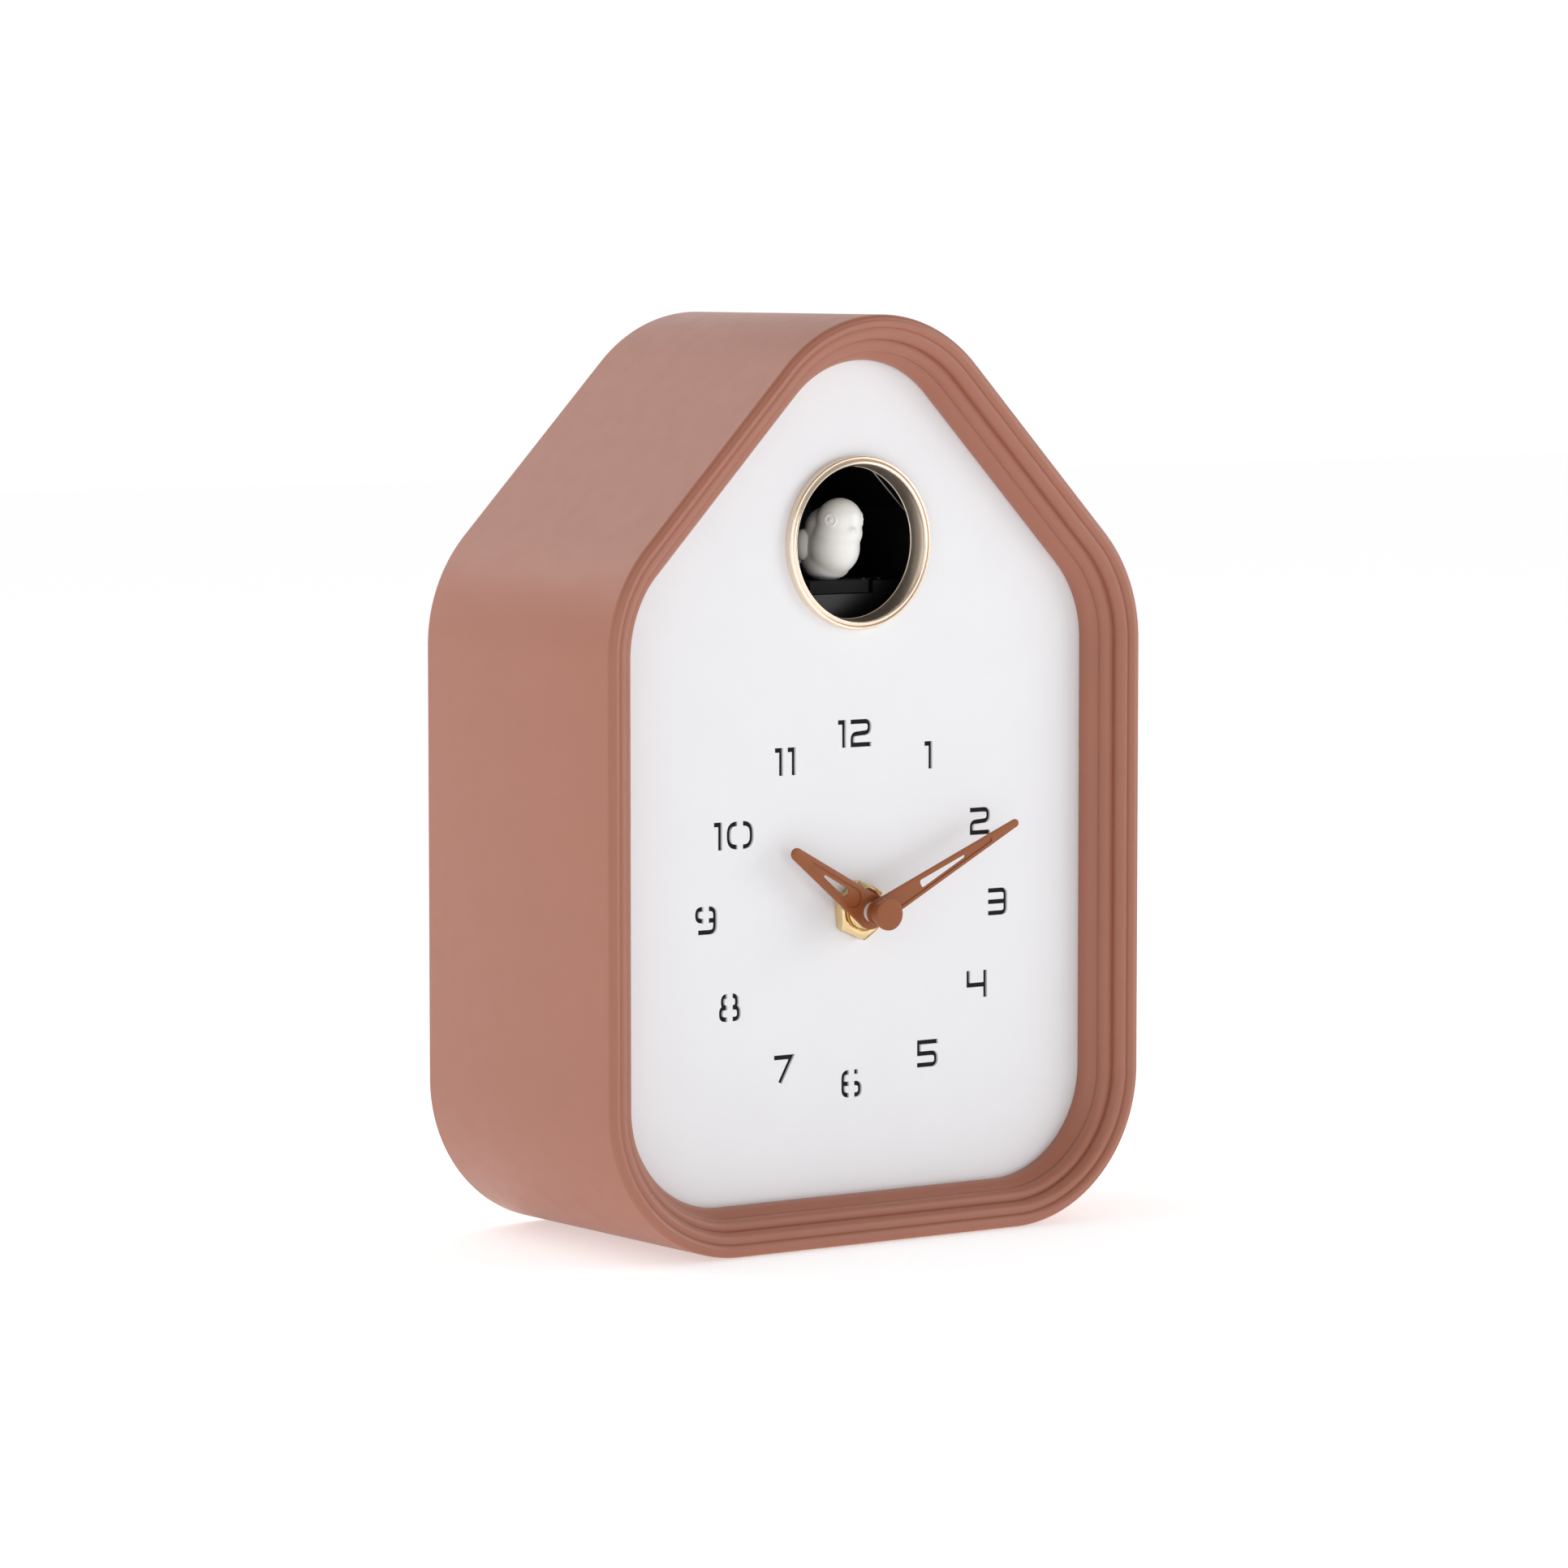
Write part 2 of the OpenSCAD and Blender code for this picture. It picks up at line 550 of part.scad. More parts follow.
knob_r = 7;
function knurl(n, r, dip) = [for (i = [0:2 * n - 1]) (r - dip * (i % 2)) * ray(180 * i / n)];
module set_knob() color(black) upright() translate(set_c) difference() {
    union() {
        slab(-front_z + 0.4, cover_back_z - 0.3) polygon(knurl(24, knob_r, 0.5));
        slab(cover_back_z - 0.3, cover_z + 3) circle(r = 2.6);
    }
    slab(cover_back_z - 0.25, cover_z + 4) circle(r = set_shaft_r + 0.02);
}

module train_wheel(c, teeth, m, plane, pinion, pinion_m, pinion_phase, pinion_plane) translate(c) {
    gear(teeth, m, 0, plane[0], plane[1]);
    gear(pinion, pinion_m, pinion_phase, pinion_plane[0] - over, pinion_plane[1] + over);
    rod([0, 0], pivot_r, pivot_z0, pivot_z1);
}
module centre_wheel() color(nylon) upright() difference() {
    translate(hub) gear(centre_teeth, train_m[0], 0, centre_plane[0], centre_plane[1]);
    rod(hub, arbor_r + 0.05, centre_plane[0] - 1, centre_plane[1] + 1);
}
module third_wheel() color(nylon) upright() train_wheel(
    third_c, third_teeth, train_m[1], third_plane,
    third_pinion, train_m[0], third_pinion_phase, centre_plane);
module fourth_wheel() color(nylon) upright() train_wheel(
    fourth_c, fourth_teeth, train_m[2], fourth_plane,
    fourth_pinion, train_m[1], fourth_pinion_phase, third_plane);
module fifth_wheel() color(nylon) upright() train_wheel(
    fifth_c, fifth_teeth, train_m[3], fifth_plane,
    fifth_pinion, train_m[2], fifth_pinion_phase, fourth_plane);

magnet_r = 3;
magnet_plane = [chassis_z - 9.2, chassis_z - 6.2];
module rotor() color(steel) upright() translate(rotor_c) {
    gear(rotor_pinion, train_m[3], rotor_pinion_phase, fifth_plane[0] - over, fifth_plane[1] + over);
    rod([0, 0], magnet_r, magnet_plane[0], magnet_plane[1]);
    rod([0, 0], pivot_r, pivot_z0, pivot_z1);
}

stator_plane = [chassis_z - 8.4, chassis_z - 7.2];
coil_c = rotor_c + [6.5, -7.4];
coil_len = 16;
coil_r = 2.9;
// The stator's pole plate, and the core that its two legs carry through the coil
pole = [20.8, 8.8];
core_half = 9.4;
core_w = 2;
module stator() color(steel) upright() difference() {
    slab(stator_plane[0], stator_plane[1]) {
        translate(rotor_c + [-4.2, -pole[1] / 2]) square(pole);
        for (s = [-1, 1]) translate(coil_c + [s * core_half - core_w / 2, -core_w / 2])
            square([core_w, rotor_c[1] - coil_c[1] + core_w / 2]);
        translate(coil_c - [core_half, core_w / 2]) square([2 * core_half, core_w]);
    }
    rod(rotor_c, magnet_r + 0.4, stator_plane[0] - 1, stator_plane[1] + 1);
}
module coil() color("chocolate") upright() difference() {
    translate([coil_c[0], coil_c[1], (stator_plane[0] + stator_plane[1]) / 2]) rotate([0, 90, 0])
        cylinder(h = coil_len, r = coil_r, center = true);
    slab(stator_plane[0] - 0.05, stator_plane[1] + 0.05)
        translate(coil_c) square([coil_len + 4, core_w + 0.1], center = true);
}

board_t = 1.2;
module movement_board() color(board_green) upright() {
    block(-25, -3, hub_h + 13, hub_h + 25, move_z0 + 2, move_z0 + 2 + board_t);
    block(-20, -14, hub_h + 16, hub_h + 22, move_z0 + 2 + board_t, move_z0 + 4.4);
    translate([-11, hub_h + 22.5, move_z0 + 4.3]) rotate([0, 90, 0]) cylinder(h = 6, r = 1.1);
    block(-10.5, -5.5, hub_h + 21.8, hub_h + 23.2, move_z0 + 2 + board_t, move_z0 + 3.5);
}

// ---- Bird chamber, carriage and drive ----

chamber_in = 21.4;
chamber_wall = 1.6;
chamber_floor = port_h - 19.6;
chamber_top = port_h + 21;
chamber_cut = 14.1;
chamber_back = -22;
function gabled(w, y0, y1, cut) =
    [[-w, y0], [w, y0], [w, y1 - cut], [w - cut, y1], [cut - w, y1], [-w, y1 - cut]];
rib_z = chassis_z - 6;
pinion_c = [13.8, 10];
axle_r = 1;
axle_hole_r = 1.06;
deck_z = port_h - 13.9;

module bird_chamber() color(black) upright() difference() {
    union() {
        slab(chamber_back, chassis_z) polygon(gabled(
            chamber_in + chamber_wall, chamber_floor - chamber_wall,
            chamber_top + chamber_wall, chamber_cut + 0.6));
        slab(chassis_z - 1.8, chassis_z) translate([0, port_h]) polygon(rounded_box(59, 56, 5));
    }
    difference() {
        slab(chamber_back + chamber_wall, chassis_z + 1)
            polygon(gabled(chamber_in, chamber_floor, chamber_top, chamber_cut));
        difference() {
            slab(rib_z, rib_z + 1)
                polygon(gabled(chamber_in + 0.1, chamber_floor + 12, chamber_top + 0.1, chamber_cut));
            slab(rib_z - 1, rib_z + 2)
                polygon(gabled(chamber_in - 0.9, chamber_floor, chamber_top - 0.9, chamber_cut - 0.4));
        }
    }
    for (s = [-1, 1]) for (t = [-1, 1])
        rod([s * chamber_hole[0], port_h + t * chamber_hole[1]], 1.3, chassis_z - 3, chassis_z + 1);
    translate([pinion_c[0], chamber_floor - 3, pinion_c[1]]) rotate([-90, 0, 0]) cylinder(h = 6, r = 1.6);
}

module chamber_screws() color(steel) upright()
    for (s = [-1, 1]) for (t = [-1, 1])
        screw([s * chamber_hole[0], port_h + t * chamber_hole[1]], 0.95, 1.9,
            chassis_z - 1.8, chassis_z + 1.6);

carriage_w = 16.4;
carriage_t = 2.9;
carriage_y = port_h - 11.7;
carriage_front = 20.7;
carriage_back = pinion_c[1] - bird_travel - 2;
rack_m = 0.6;
rack_teeth_n = 14;
rack_line = pinion_c[0] - rack_m * rack_teeth_n / 2;
rack_root = rack_line - 1.1 * rack_m;
rack_tip = rack_line + 0.8 * rack_m;
rack_pitch = PI * rack_m;
guide_w = chamber_in - 0.2;
guide_front = 19.5;

// Deck with a channel for the carriage, a front sill and a pocket for the pinion
module carriage_guide() color(black) upright() difference() {
    union() {
        block(-guide_w, guide_w, deck_z, deck_z + 1.9, chamber_back + 2, guide_front);
        block(-guide_w, guide_w, chamber_floor + 0.1, deck_z, guide_front - 2, guide_front);
        block(-guide_w, -carriage_w / 2 - gap, deck_z + 1.9, deck_z + 4.7, chamber_back + 2, guide_front);
        block(rack_tip + gap, guide_w, deck_z + 1.9, deck_z + 4.7, 15.4, guide_front);
        block(guide_w - 1.6, guide_w, deck_z + 1.9, deck_z + 4.7, chamber_back + 2, guide_front);
    }
    translate([pinion_c[0], deck_z - 1, pinion_c[1]]) rotate([-90, 0, 0]) cylinder(h = 4, r = axle_hole_r);
}

rack_front = 12;
rack_count = floor((pinion_c[1] - carriage_back) / rack_pitch + 1.23);
module bird_carriage() color(black) upright() {
    block(-carriage_w / 2, carriage_w / 2, carriage_y, carriage_y + carriage_t,
        carriage_back, carriage_front);
    translate([0, carriage_y + 2.5, 0]) rotate([90, 0, 0]) linear_extrude(2) polygon(concat(
        [[carriage_w / 2 - 1, rack_front], [rack_root, rack_front]],
        [for (i = [0:rack_count - 1])
            let (z = pinion_c[1] - (i - 0.5) * rack_pitch)
            each [[rack_root, z + 0.27 * rack_pitch], [rack_tip, z + 0.1 * rack_pitch],
                [rack_tip, z - 0.1 * rack_pitch], [rack_root, z - 0.27 * rack_pitch]]],
        [[rack_root, carriage_back], [carriage_w / 2 - 1, carriage_back]]
    ));
}

// Bird: centres of head, breast, rump and the foot it stands on
head_c = [0, port_h + 4.9, 21];
head_r = 5.1;
perch_y = carriage_y + carriage_t;
module bird_body() color(ivory) upright() hull() {
    $fn = 32;
    translate(head_c) sphere(r = head_r);
    translate([0, perch_y + 7.6, 17.6]) sphere(r = 6);
    translate([0, perch_y + 6.4, 11]) sphere(r = 4.6);
    translate([0, perch_y, 14.6]) rotate([-90, 0, 0]) cylinder(h = 1, r = 3.9);
}
module bird_wings() color(ivory) upright() for (s = [-1, 1]) hull() {
    $fn = 24;
    translate([s * 4.6, perch_y + 8.4, 14.6]) sphere(r = 2);
    translate([s * 3.6, perch_y + 6, 6.6]) sphere(r = 1);
}
eye_c = [4.3, port_h + 5, 23.2];
module bird_eyes() color(black) upright() for (s = [-1, 1])
    translate([s * eye_c[0], eye_c[1], eye_c[2]]) sphere(r = 0.8);
module bird_beak() color(ivory) upright() translate([0, port_h + 3.2, 25.4]) rotate([10, 0, 0])
    cylinder(h = 2, r1 = 1, r2 = 0.25);

drive_m = 0.4;
drive_teeth = 40;
motor_teeth = 10;
drive_y = chamber_floor - chamber_wall - 4.2;
motor_c = pinion_c - [drive_m * (drive_teeth + motor_teeth) / 2, 0];
// Things that turn about a vertical axis are drawn in plan (x right, y back) and lifted by height
module plan(p, h) translate([p[0], -p[1], h]) children();
rack_phase = 180;

module rack_pinion() color(nylon) plan(pinion_c, 0) {
    gear(rack_teeth_n, rack_m, rack_phase, carriage_y + 0.2, carriage_y + 2.8);
    rod([0, 0], axle_r, drive_y - 4.4, carriage_y + 0.2);
}
module drive_gear() color(nylon) plan(pinion_c, 0) difference() {
    union() {
        gear(drive_teeth, drive_m, 0, drive_y, drive_y + 1.4);
        rod([0, 0], 2.4, drive_y - 0.6, drive_y + 3);
    }
    rod([0, 0], axle_r + 0.02, drive_y - 2, drive_y + 4);
}

bracket_y = drive_y - 4.6;
motor_r = 7.6;
motor_h = 20;
module motor_bracket() color(black) difference() {
    union() {
        translate([-12, -chassis_z, bracket_y]) cube([36, 26, 1.8]);
        translate([-12, -chassis_z, bracket_y - 24]) cube([36, 1.8, 25]);
        for (x = [-12, 22.4]) translate([x, -chassis_z, bracket_y - 14]) cube([1.6, 14, 15]);
    }
    plan(pinion_c, bracket_y - 1) cylinder(h = 4, r = axle_hole_r);
    plan(motor_c, bracket_y - 1) cylinder(h = 4, r = 3.1);
}
module motor() color(steel) plan(motor_c, 0) difference() {
    union() {
        intersection() {
            rod([0, 0], motor_r, bracket_y - motor_h, bracket_y);
            block(-motor_r - 1, motor_r + 1, -6, 6, bracket_y - motor_h, bracket_y);
        }
        rod([0, 0], 3, bracket_y, bracket_y + 1.4);
    }
    rod([0, 0], 0.8, bracket_y - 12, bracket_y + 3);
}
module motor_pinion() color(brass) plan(motor_c, 0) {
    gear(motor_teeth, drive_m, meshed(drive_teeth, 0, 180, motor_teeth), drive_y - 0.4, drive_y + 2);
    rod([0, 0], 0.75, bracket_y - 11.5, drive_y - 0.4);
}

// ---- Sound board, controls, speaker and light sensor ----

control_y = 113;
volume_x = -20;
button_x = 20;
sound_z = cover_z + 7;
sound_t = 1.6;
posts = [[-28, 103], [28, 103], [-28, 124], [28, 124]];

module sound_board() color(board_green) upright() difference() {
    union() {
        block(-32, 32, 99, 128, sound_z, sound_z + sound_t);
        rod([volume_x, control_y], 7, sound_z - 3.2, sound_z);
        block(-8, 8, control_y - 3.6, control_y + 3.6, sound_z - 4.6, sound_z);
        block(button_x - 3.5, button_x + 3.5, control_y - 3.5, control_y + 3.5, sound_z - 3, sound_z);
        block(-9, 3, 118, 124, sound_z + sound_t, sound_z + 3.4);
        for (x = [10, 18]) rod([x, 106], 2.6, sound_z + sound_t, sound_z + 9);
    }
    rod([volume_x, control_y], 3.05, sound_z - 4, sound_z - 0.6);
    block(-6.3, 6.3, control_y - 1.3, control_y + 1.3, sound_z - 6, sound_z - 2);
    for (p = posts) rod(p, 1.3, sound_z - 1, sound_z + 3);
}
module board_screws() color(steel) upright() for (p = posts)
    rotate([0, 180, 0]) screw([-p[0], p[1]], 0.95, 2, -sound_z - sound_t, -sound_z + 4.4);

volume_r = 8;
module volume_knob() color(black) upright() translate([volume_x, control_y, 0]) difference() {
    union() {
        slab(-front_z + 0.8, cover_z + 0.9) polygon(knurl(28, volume_r, 0.5));
        slab(cover_z + 0.9, sound_z - 1.2) circle(r = 3);
    }
    slab(-front_z - 1, -front_z + 1.3) translate([0, 4.2]) square([1, 5], center = true);
}
switch_travel = 3;
module mode_switch() color(black) upright() {
    block(-2.8, 2.8, control_y - 2, control_y + 2, -front_z + 1.2, sound_z - 4.8);
    block(-2.2, 2.2, control_y - 1.1, control_y + 1.1, sound_z - 4.8, sound_z - 2.4);
    for (x = [-1.5, 0, 1.5])
        block(x - 0.25, x + 0.25, control_y - 2, control_y + 2, -front_z + 0.9, -front_z + 1.2);
}
button_travel = 1.2;
button_end = sound_z - 3 - button_travel - 0.1;
module test_button() color(black) upright() translate([button_x, control_y, 0]) rotate_extrude()
    polygon([[0, -front_z + 1.2], [3.5, -front_z + 1.2], [4, -front_z + 1.7], [4, cover_z + 0.3],
        [5, cover_z + 0.3], [5, cover_z + 1.2], [1.5, cover_z + 1.2], [1.5, button_end], [0, button_end]]);

speaker_y = 150;
speaker_r = 18.5;
module speaker() color(black) upright() translate([0, speaker_y, cover_z]) rotate_extrude($fn = 72)
    polygon([[0, 1.6], [5, 1.6], [14.5, 0.6], [17, 0.9], [speaker_r, 0.1], [speaker_r, 1.6], [17, 2.2],
        [11, 5.6], [11, 9], [0, 9]]);

module light_sensor() color("whitesmoke") upright()
    translate([case_w / 2 - 8, sensor_y, sensor_z]) rotate([0, 90, 0]) {
    cylinder(h = 6.2, r = sensor_r);
    translate([0, 0, 6.2]) cylinder(h = 1.4, r1 = sensor_r, r2 = 1.4);
    translate([0, 0, -2]) cylinder(h = 2, r = sensor_r + 1.2);
}

// ---- Battery bay ----

cell_r = 7.1;
cell_len = 49.2;
cell_pitch = 15.2;
bay_h = 42;
bay_in = [55.6, 46];
cell_shift = 1.5;
bay_wall = 1.2;
bay_depth = 16;
cell_z = cover_z + 8.2;

module battery_box() color(black) upright() difference() {
    slab(cover_z + 0.05, cover_z + bay_depth + bay_wall) translate([0, bay_h])
        polygon(rounded_box(bay_in[0] + 2 * bay_wall, bay_in[1] + 2 * bay_wall, 2));
    slab(cover_z - 1, cover_z + bay_depth) translate([0, bay_h]) square(bay_in, center = true);
}
// Direction of each cell alternates, so each end has both kinds of contact
module cells(i) {
    s = i == 1 ? -1 : 1;
    translate([0, bay_h + (i - 1) * cell_pitch, cell_z]) rotate([0, 90 * s, 0]) children();
}
module battery(i) color(i == 1 ? "dimgray" : "slategray") upright() cells(i)
    translate([0, 0, cell_shift]) rotate_extrude()
    polygon([
        [0, -cell_len / 2 - 0.2], [3.6, -cell_len / 2 - 0.2], [4, -cell_len / 2], [cell_r - 0.4, -cell_len / 2],
        [cell_r, -cell_len / 2 + 0.4], [cell_r, cell_len / 2 - 0.6], [cell_r - 0.6, cell_len / 2],
        [2.7, cell_len / 2], [2.7, cell_len / 2 + 1.2], [0, cell_len / 2 + 1.2]]);
module battery_1() battery(0);
module battery_2() battery(1);
module battery_3() battery(2);
// Conical contact springs, drawn as stacked rings joined on one side
module battery_springs() color(steel) upright() for (i = [0:2]) cells(i)
    translate([0, 0, -bay_in[0] / 2 + 0.05]) {
        for (k = [0:3]) translate([0, 0, 0.5 + 1.1 * k]) rotate_extrude($fn = 32)
            translate([4.2 - 0.6 * k, 0]) circle(r = 0.35, $fn = 13);
        for (k = [0:2]) translate([2.9 - 0.6 * k, -0.3, 0.4 + 1.1 * k]) cube([1.5, 0.6, 1.3]);
        translate([-4, -4, 0]) cube([8, 8, 0.35]);
    }
module battery_plates() color(steel) upright() for (i = [0:2]) cells(i)
    translate([-4.5, -4.5, bay_in[0] / 2 - 0.45]) cube([9, 9, 0.4]);

// ---- Back cover, battery door and their fastenings ----

door_w = 63;
door_h = [17, 68];
door_z = [-front_z + 0.4, cover_back_z - 0.1];
hinge_y = 15.2;
hinge_z = -front_z + 1.1;
hinge_r = 1.1;
hinge_pin = 0.65;
lug_a = 20.8;
lug_b = 24;
// Keyhole: height of the round hole, its radius, the slot's half-width and its rise
keyhole_y = 190;
keyhole_r = 4.5;
keyhole_slot_r = 2.3;
keyhole_rise = 8.5;

module battery_door() color(terracotta) upright() {
    difference() {
        block(-door_w / 2, door_w / 2, door_h[0], door_h[1], door_z[0], door_z[1]);
        for (k = [0:4]) block(-9, 9, 56 + 2 * k, 57 + 2 * k, door_z[0] - 1, door_z[0] + 0.5);
    }
    block(-5, 5, door_h[1], door_h[1] + 1.6, door_z[0] + 0.2, door_z[1]);
    block(-lug_a + 0.4, lug_a - 0.4, hinge_y, door_h[0] + 0.5, hinge_z - 0.6, hinge_z + 0.6);
    translate([-lug_a + 0.4, hinge_y, hinge_z]) rotate([0, 90, 0]) cylinder(h = 2 * lug_a - 0.8, r = hinge_r);
    translate([-lug_b + 0.2, hinge_y, hinge_z]) rotate([0, 90, 0])
        cylinder(h = 2 * lug_b - 0.4, r = hinge_pin);
}

// Speaker grille: slots on each side of the middle one, their spacing and half-width, the grille's radius
grille_slots = 4;
grille_pitch = 3.4;
grille_slot = 0.8;
grille_r = 15;
module back_cover() color(terracotta) upright() difference() {
    union() {
        slab(cover_back_z, cover_z) polygon(house(wall + 0.3));
        for (s = [-1, 1]) block(min(s * lug_a, s * lug_b), max(s * lug_a, s * lug_b),
            hinge_y - 1.2, hinge_y + 1.2, hinge_z - 1.1, cover_z - 1);
        for (p = posts) rod(p, 2.6, cover_z - 0.5, sound_z - 0.05);
        translate([0, speaker_y, 0]) difference() {
            rod([0, 0], speaker_r + 1.8, cover_z - 0.5, cover_z + 4);
            rod([0, 0], speaker_r + 0.1, cover_z, cover_z + 5);
        }
    }
    for (s = [-1, 1]) {
        for (h = boss_heights) rod([s * boss_x, h], screw_r + 0.3, cover_back_z - 1, cover_z + 1);
        translate([s * lug_a - s, hinge_y, hinge_z]) rotate([0, 90 * s, 0])
            cylinder(h = 6, r = hinge_pin + 0.06);
    }
    slab(cover_back_z - 1, cover_z + 1) translate([0, bay_h]) square(bay_in, center = true);
    rod([volume_x, control_y], volume_r + 0.4, cover_back_z - 1, cover_z + 1);
    rod([button_x, control_y], 4.25, cover_back_z - 1, cover_z + 1);
    block(-3.1 - switch_travel, 3.1 + switch_travel, control_y - 2.3, control_y + 2.3,
        cover_back_z - 1, cover_z + 1);
    rod(set_c, 2.9, cover_back_z - 1, cover_z + 1);
    rod([0, keyhole_y], keyhole_r, cover_back_z - 1, cover_z + 1);
    block(-keyhole_slot_r, keyhole_slot_r, keyhole_y, keyhole_y + keyhole_rise, cover_back_z - 1, cover_z + 1);
    rod([0, keyhole_y + keyhole_rise], keyhole_slot_r, cover_back_z - 1, cover_z + 1);
    for (i = [-grille_slots:grille_slots])
        let (x = grille_pitch * i, h = sqrt(grille_r * grille_r - x * x))
        block(x - grille_slot, x + grille_slot, speaker_y - h, speaker_y + h, cover_back_z - 1, cover_z + 0.5);
    for (p = posts) rod(p, 0.98, cover_z + 1, sound_z + 1);
}

module cover_screws() color(steel) upright() for (s = [-1, 1]) for (h = boss_heights)
    screw([s * boss_x, h], screw_r - 0.03, 3, cover_back_z, cover_z + 13);

case_shell();
dial_plate();
dial_backing();
port_ring();
chassis();
chassis_screws();
hour_hand();
minute_hand();
hub_cap();
dial_washer();
shaft_nut();
shaft_bush();
movement_front();
movement_rear();
minute_arbor();
hour_wheel();
minute_wheel();
set_pinion();
set_knob();
centre_wheel();
third_wheel();
fourth_wheel();
fifth_wheel();
rotor();
stator();
coil();
movement_board();
bird_chamber();
chamber_screws();
carriage_guide();
bird_carriage();
bird_body();
bird_wings();
bird_eyes();
bird_beak();
rack_pinion();
drive_gear();
motor_bracket();
motor();
motor_pinion();
sound_board();
board_screws();
volume_knob();
mode_switch();
test_button();
speaker();
light_sensor();
battery_box();
battery_springs();
battery_plates();
battery_1();
battery_2();
battery_3();
battery_door();
back_cover();
cover_screws();
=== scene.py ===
"""Cuckoo clock: looks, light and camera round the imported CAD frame.

Everything is placed in metres in the CAD's frame; MM turns millimetres into them. The dial faces -Y.
"""

import json
import math

import bmesh
import bpy
from mathutils import Matrix, Vector


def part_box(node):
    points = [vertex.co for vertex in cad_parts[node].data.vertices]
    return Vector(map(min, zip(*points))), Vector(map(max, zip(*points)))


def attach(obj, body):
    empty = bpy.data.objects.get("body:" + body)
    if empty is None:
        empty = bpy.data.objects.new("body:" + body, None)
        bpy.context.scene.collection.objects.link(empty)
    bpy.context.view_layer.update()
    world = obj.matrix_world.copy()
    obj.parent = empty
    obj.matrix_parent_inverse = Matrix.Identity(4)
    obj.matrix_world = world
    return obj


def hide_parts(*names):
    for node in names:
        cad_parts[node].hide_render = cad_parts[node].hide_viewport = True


MM = 0.001

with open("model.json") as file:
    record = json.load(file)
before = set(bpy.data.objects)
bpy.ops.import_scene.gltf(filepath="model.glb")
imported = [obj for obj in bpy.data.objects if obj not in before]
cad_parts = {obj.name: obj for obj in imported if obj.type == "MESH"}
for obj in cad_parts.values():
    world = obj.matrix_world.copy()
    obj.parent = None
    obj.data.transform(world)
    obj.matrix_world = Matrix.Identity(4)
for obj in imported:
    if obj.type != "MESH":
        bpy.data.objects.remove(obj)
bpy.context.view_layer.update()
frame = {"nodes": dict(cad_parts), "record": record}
nodes = frame["nodes"]
scene = bpy.context.scene

# ---- Dimensions in millimetres that match the CAD ----

# Case outline: radii of the base, eave and peak corners, height where roof and wall would meet
BASE_R = 35
EAVE_R = 36
PEAK_R = 36.5
EAVE_H = 149

# Case section: wall, where its inner face starts, edge radius, rim, and the step for the dial sheet
WALL = 2.6
WALL_START = 6.6
EDGE_R = 1.1
RIM_W = 10
DIAL_DROP = 10.2
NEST_W = RIM_W - 2.3
NEST_BACK = DIAL_DROP + 2

# Bird's port: height, outer radius of the ring, bore
PORT_H = 158.4
PORT_R = 19.7
PORT_BORE = 17.3

# Hands: height of the hub, and angles in degrees, clockwise from twelve. The hour hand has just
# passed ten, and stands HOUR_SLIP behind the exact place
HUB_H = 75
MINUTE_ANGLE = 64.8
HOUR_SLIP = 0.8
HOUR_ANGLE = MINUTE_ANGLE / 12 - 60 - HOUR_SLIP

CASE_LOW, CASE_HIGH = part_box("case_shell")
CASE_W = round((CASE_HIGH.x - CASE_LOW.x) / MM)
CASE_H = round(CASE_HIGH.z / MM)
FRONT_Y = CASE_LOW.y / MM
BACK_Y = CASE_HIGH.y / MM
CASE_D = BACK_Y - FRONT_Y
DIAL_Y = FRONT_Y + DIAL_DROP

# ---- The rim's four ridges, in millimetres ----

# Grooves between them: distance in from the outer wall, distance back from the front
GROOVES = [(EDGE_R, 0), (3, 0.7), (5.6, 2.9), (8.2, 5.4), (RIM_W, DIAL_DROP)]
# How far each ridge stands out from the line between its grooves
BULGES = [0.45, 1.0, 1.1, 1.05]
# How soft each ridge is: 0 is a full crown between sharp grooves, 1 a sine wave
WAVES = [0, 0.15, 0.2, 0.15]
# Points along each ridge, and how square a full crown is
RIDGE_STEPS = 18
CROWN_POWER = 2.6


# ---- Mesh helpers ----


def new_object(name, data):
    """Links a mesh, curve, lamp or camera into the scene as an object."""
    obj = bpy.data.objects.new(name, data)
    scene.collection.objects.link(obj)
    return obj


def smooth_faces(mesh):
    """Shades all faces smooth."""
    for face in mesh.polygons:
        face.use_smooth = True


def tidy_mesh(mesh, smooth):
    """Welds doubles, turns the faces outwards and smooths edges flatter than smooth degrees."""
    bm = bmesh.new()
    bm.from_mesh(mesh)
    bmesh.ops.remove_doubles(bm, verts=bm.verts, dist=1e-6)
    bmesh.ops.recalc_face_normals(bm, faces=bm.faces)
    bm.to_mesh(mesh)
    bm.free()
    smooth_faces(mesh)
    mesh.set_sharp_from_angle(angle=math.radians(smooth))


def mesh_object(name, verts, faces, smooth=35):
    """Object from points in millimetres; edges sharper than smooth degrees stay sharp."""
    mesh = bpy.data.meshes.new(name)
    mesh.from_pydata([Vector(v) * MM for v in verts], [], faces)
    tidy_mesh(mesh, smooth)
    return new_object(name, mesh)


def grid_faces(rows, cols, close_rows, close_cols):
    """Quads over a rows by cols grid of points, wrapped round in either direction if asked."""
    faces = []
    for i in range(rows if close_rows else rows - 1):
        for j in range(cols if close_cols else cols - 1):
            this_row, next_row = i * cols, ((i + 1) % rows) * cols
            next_col = (j + 1) % cols
            faces.append((this_row + j, this_row + next_col, next_row + next_col, next_row + j))
    return faces


def prism_faces(n):
    """Faces of a prism whose bottom outline has points 0 to n - 1 and whose top outline follows."""
    faces = [tuple(range(n - 1, -1, -1)), tuple(range(n, 2 * n))]
    return faces + [(i, (i + 1) % n, n + (i + 1) % n, n + i) for i in range(n)]


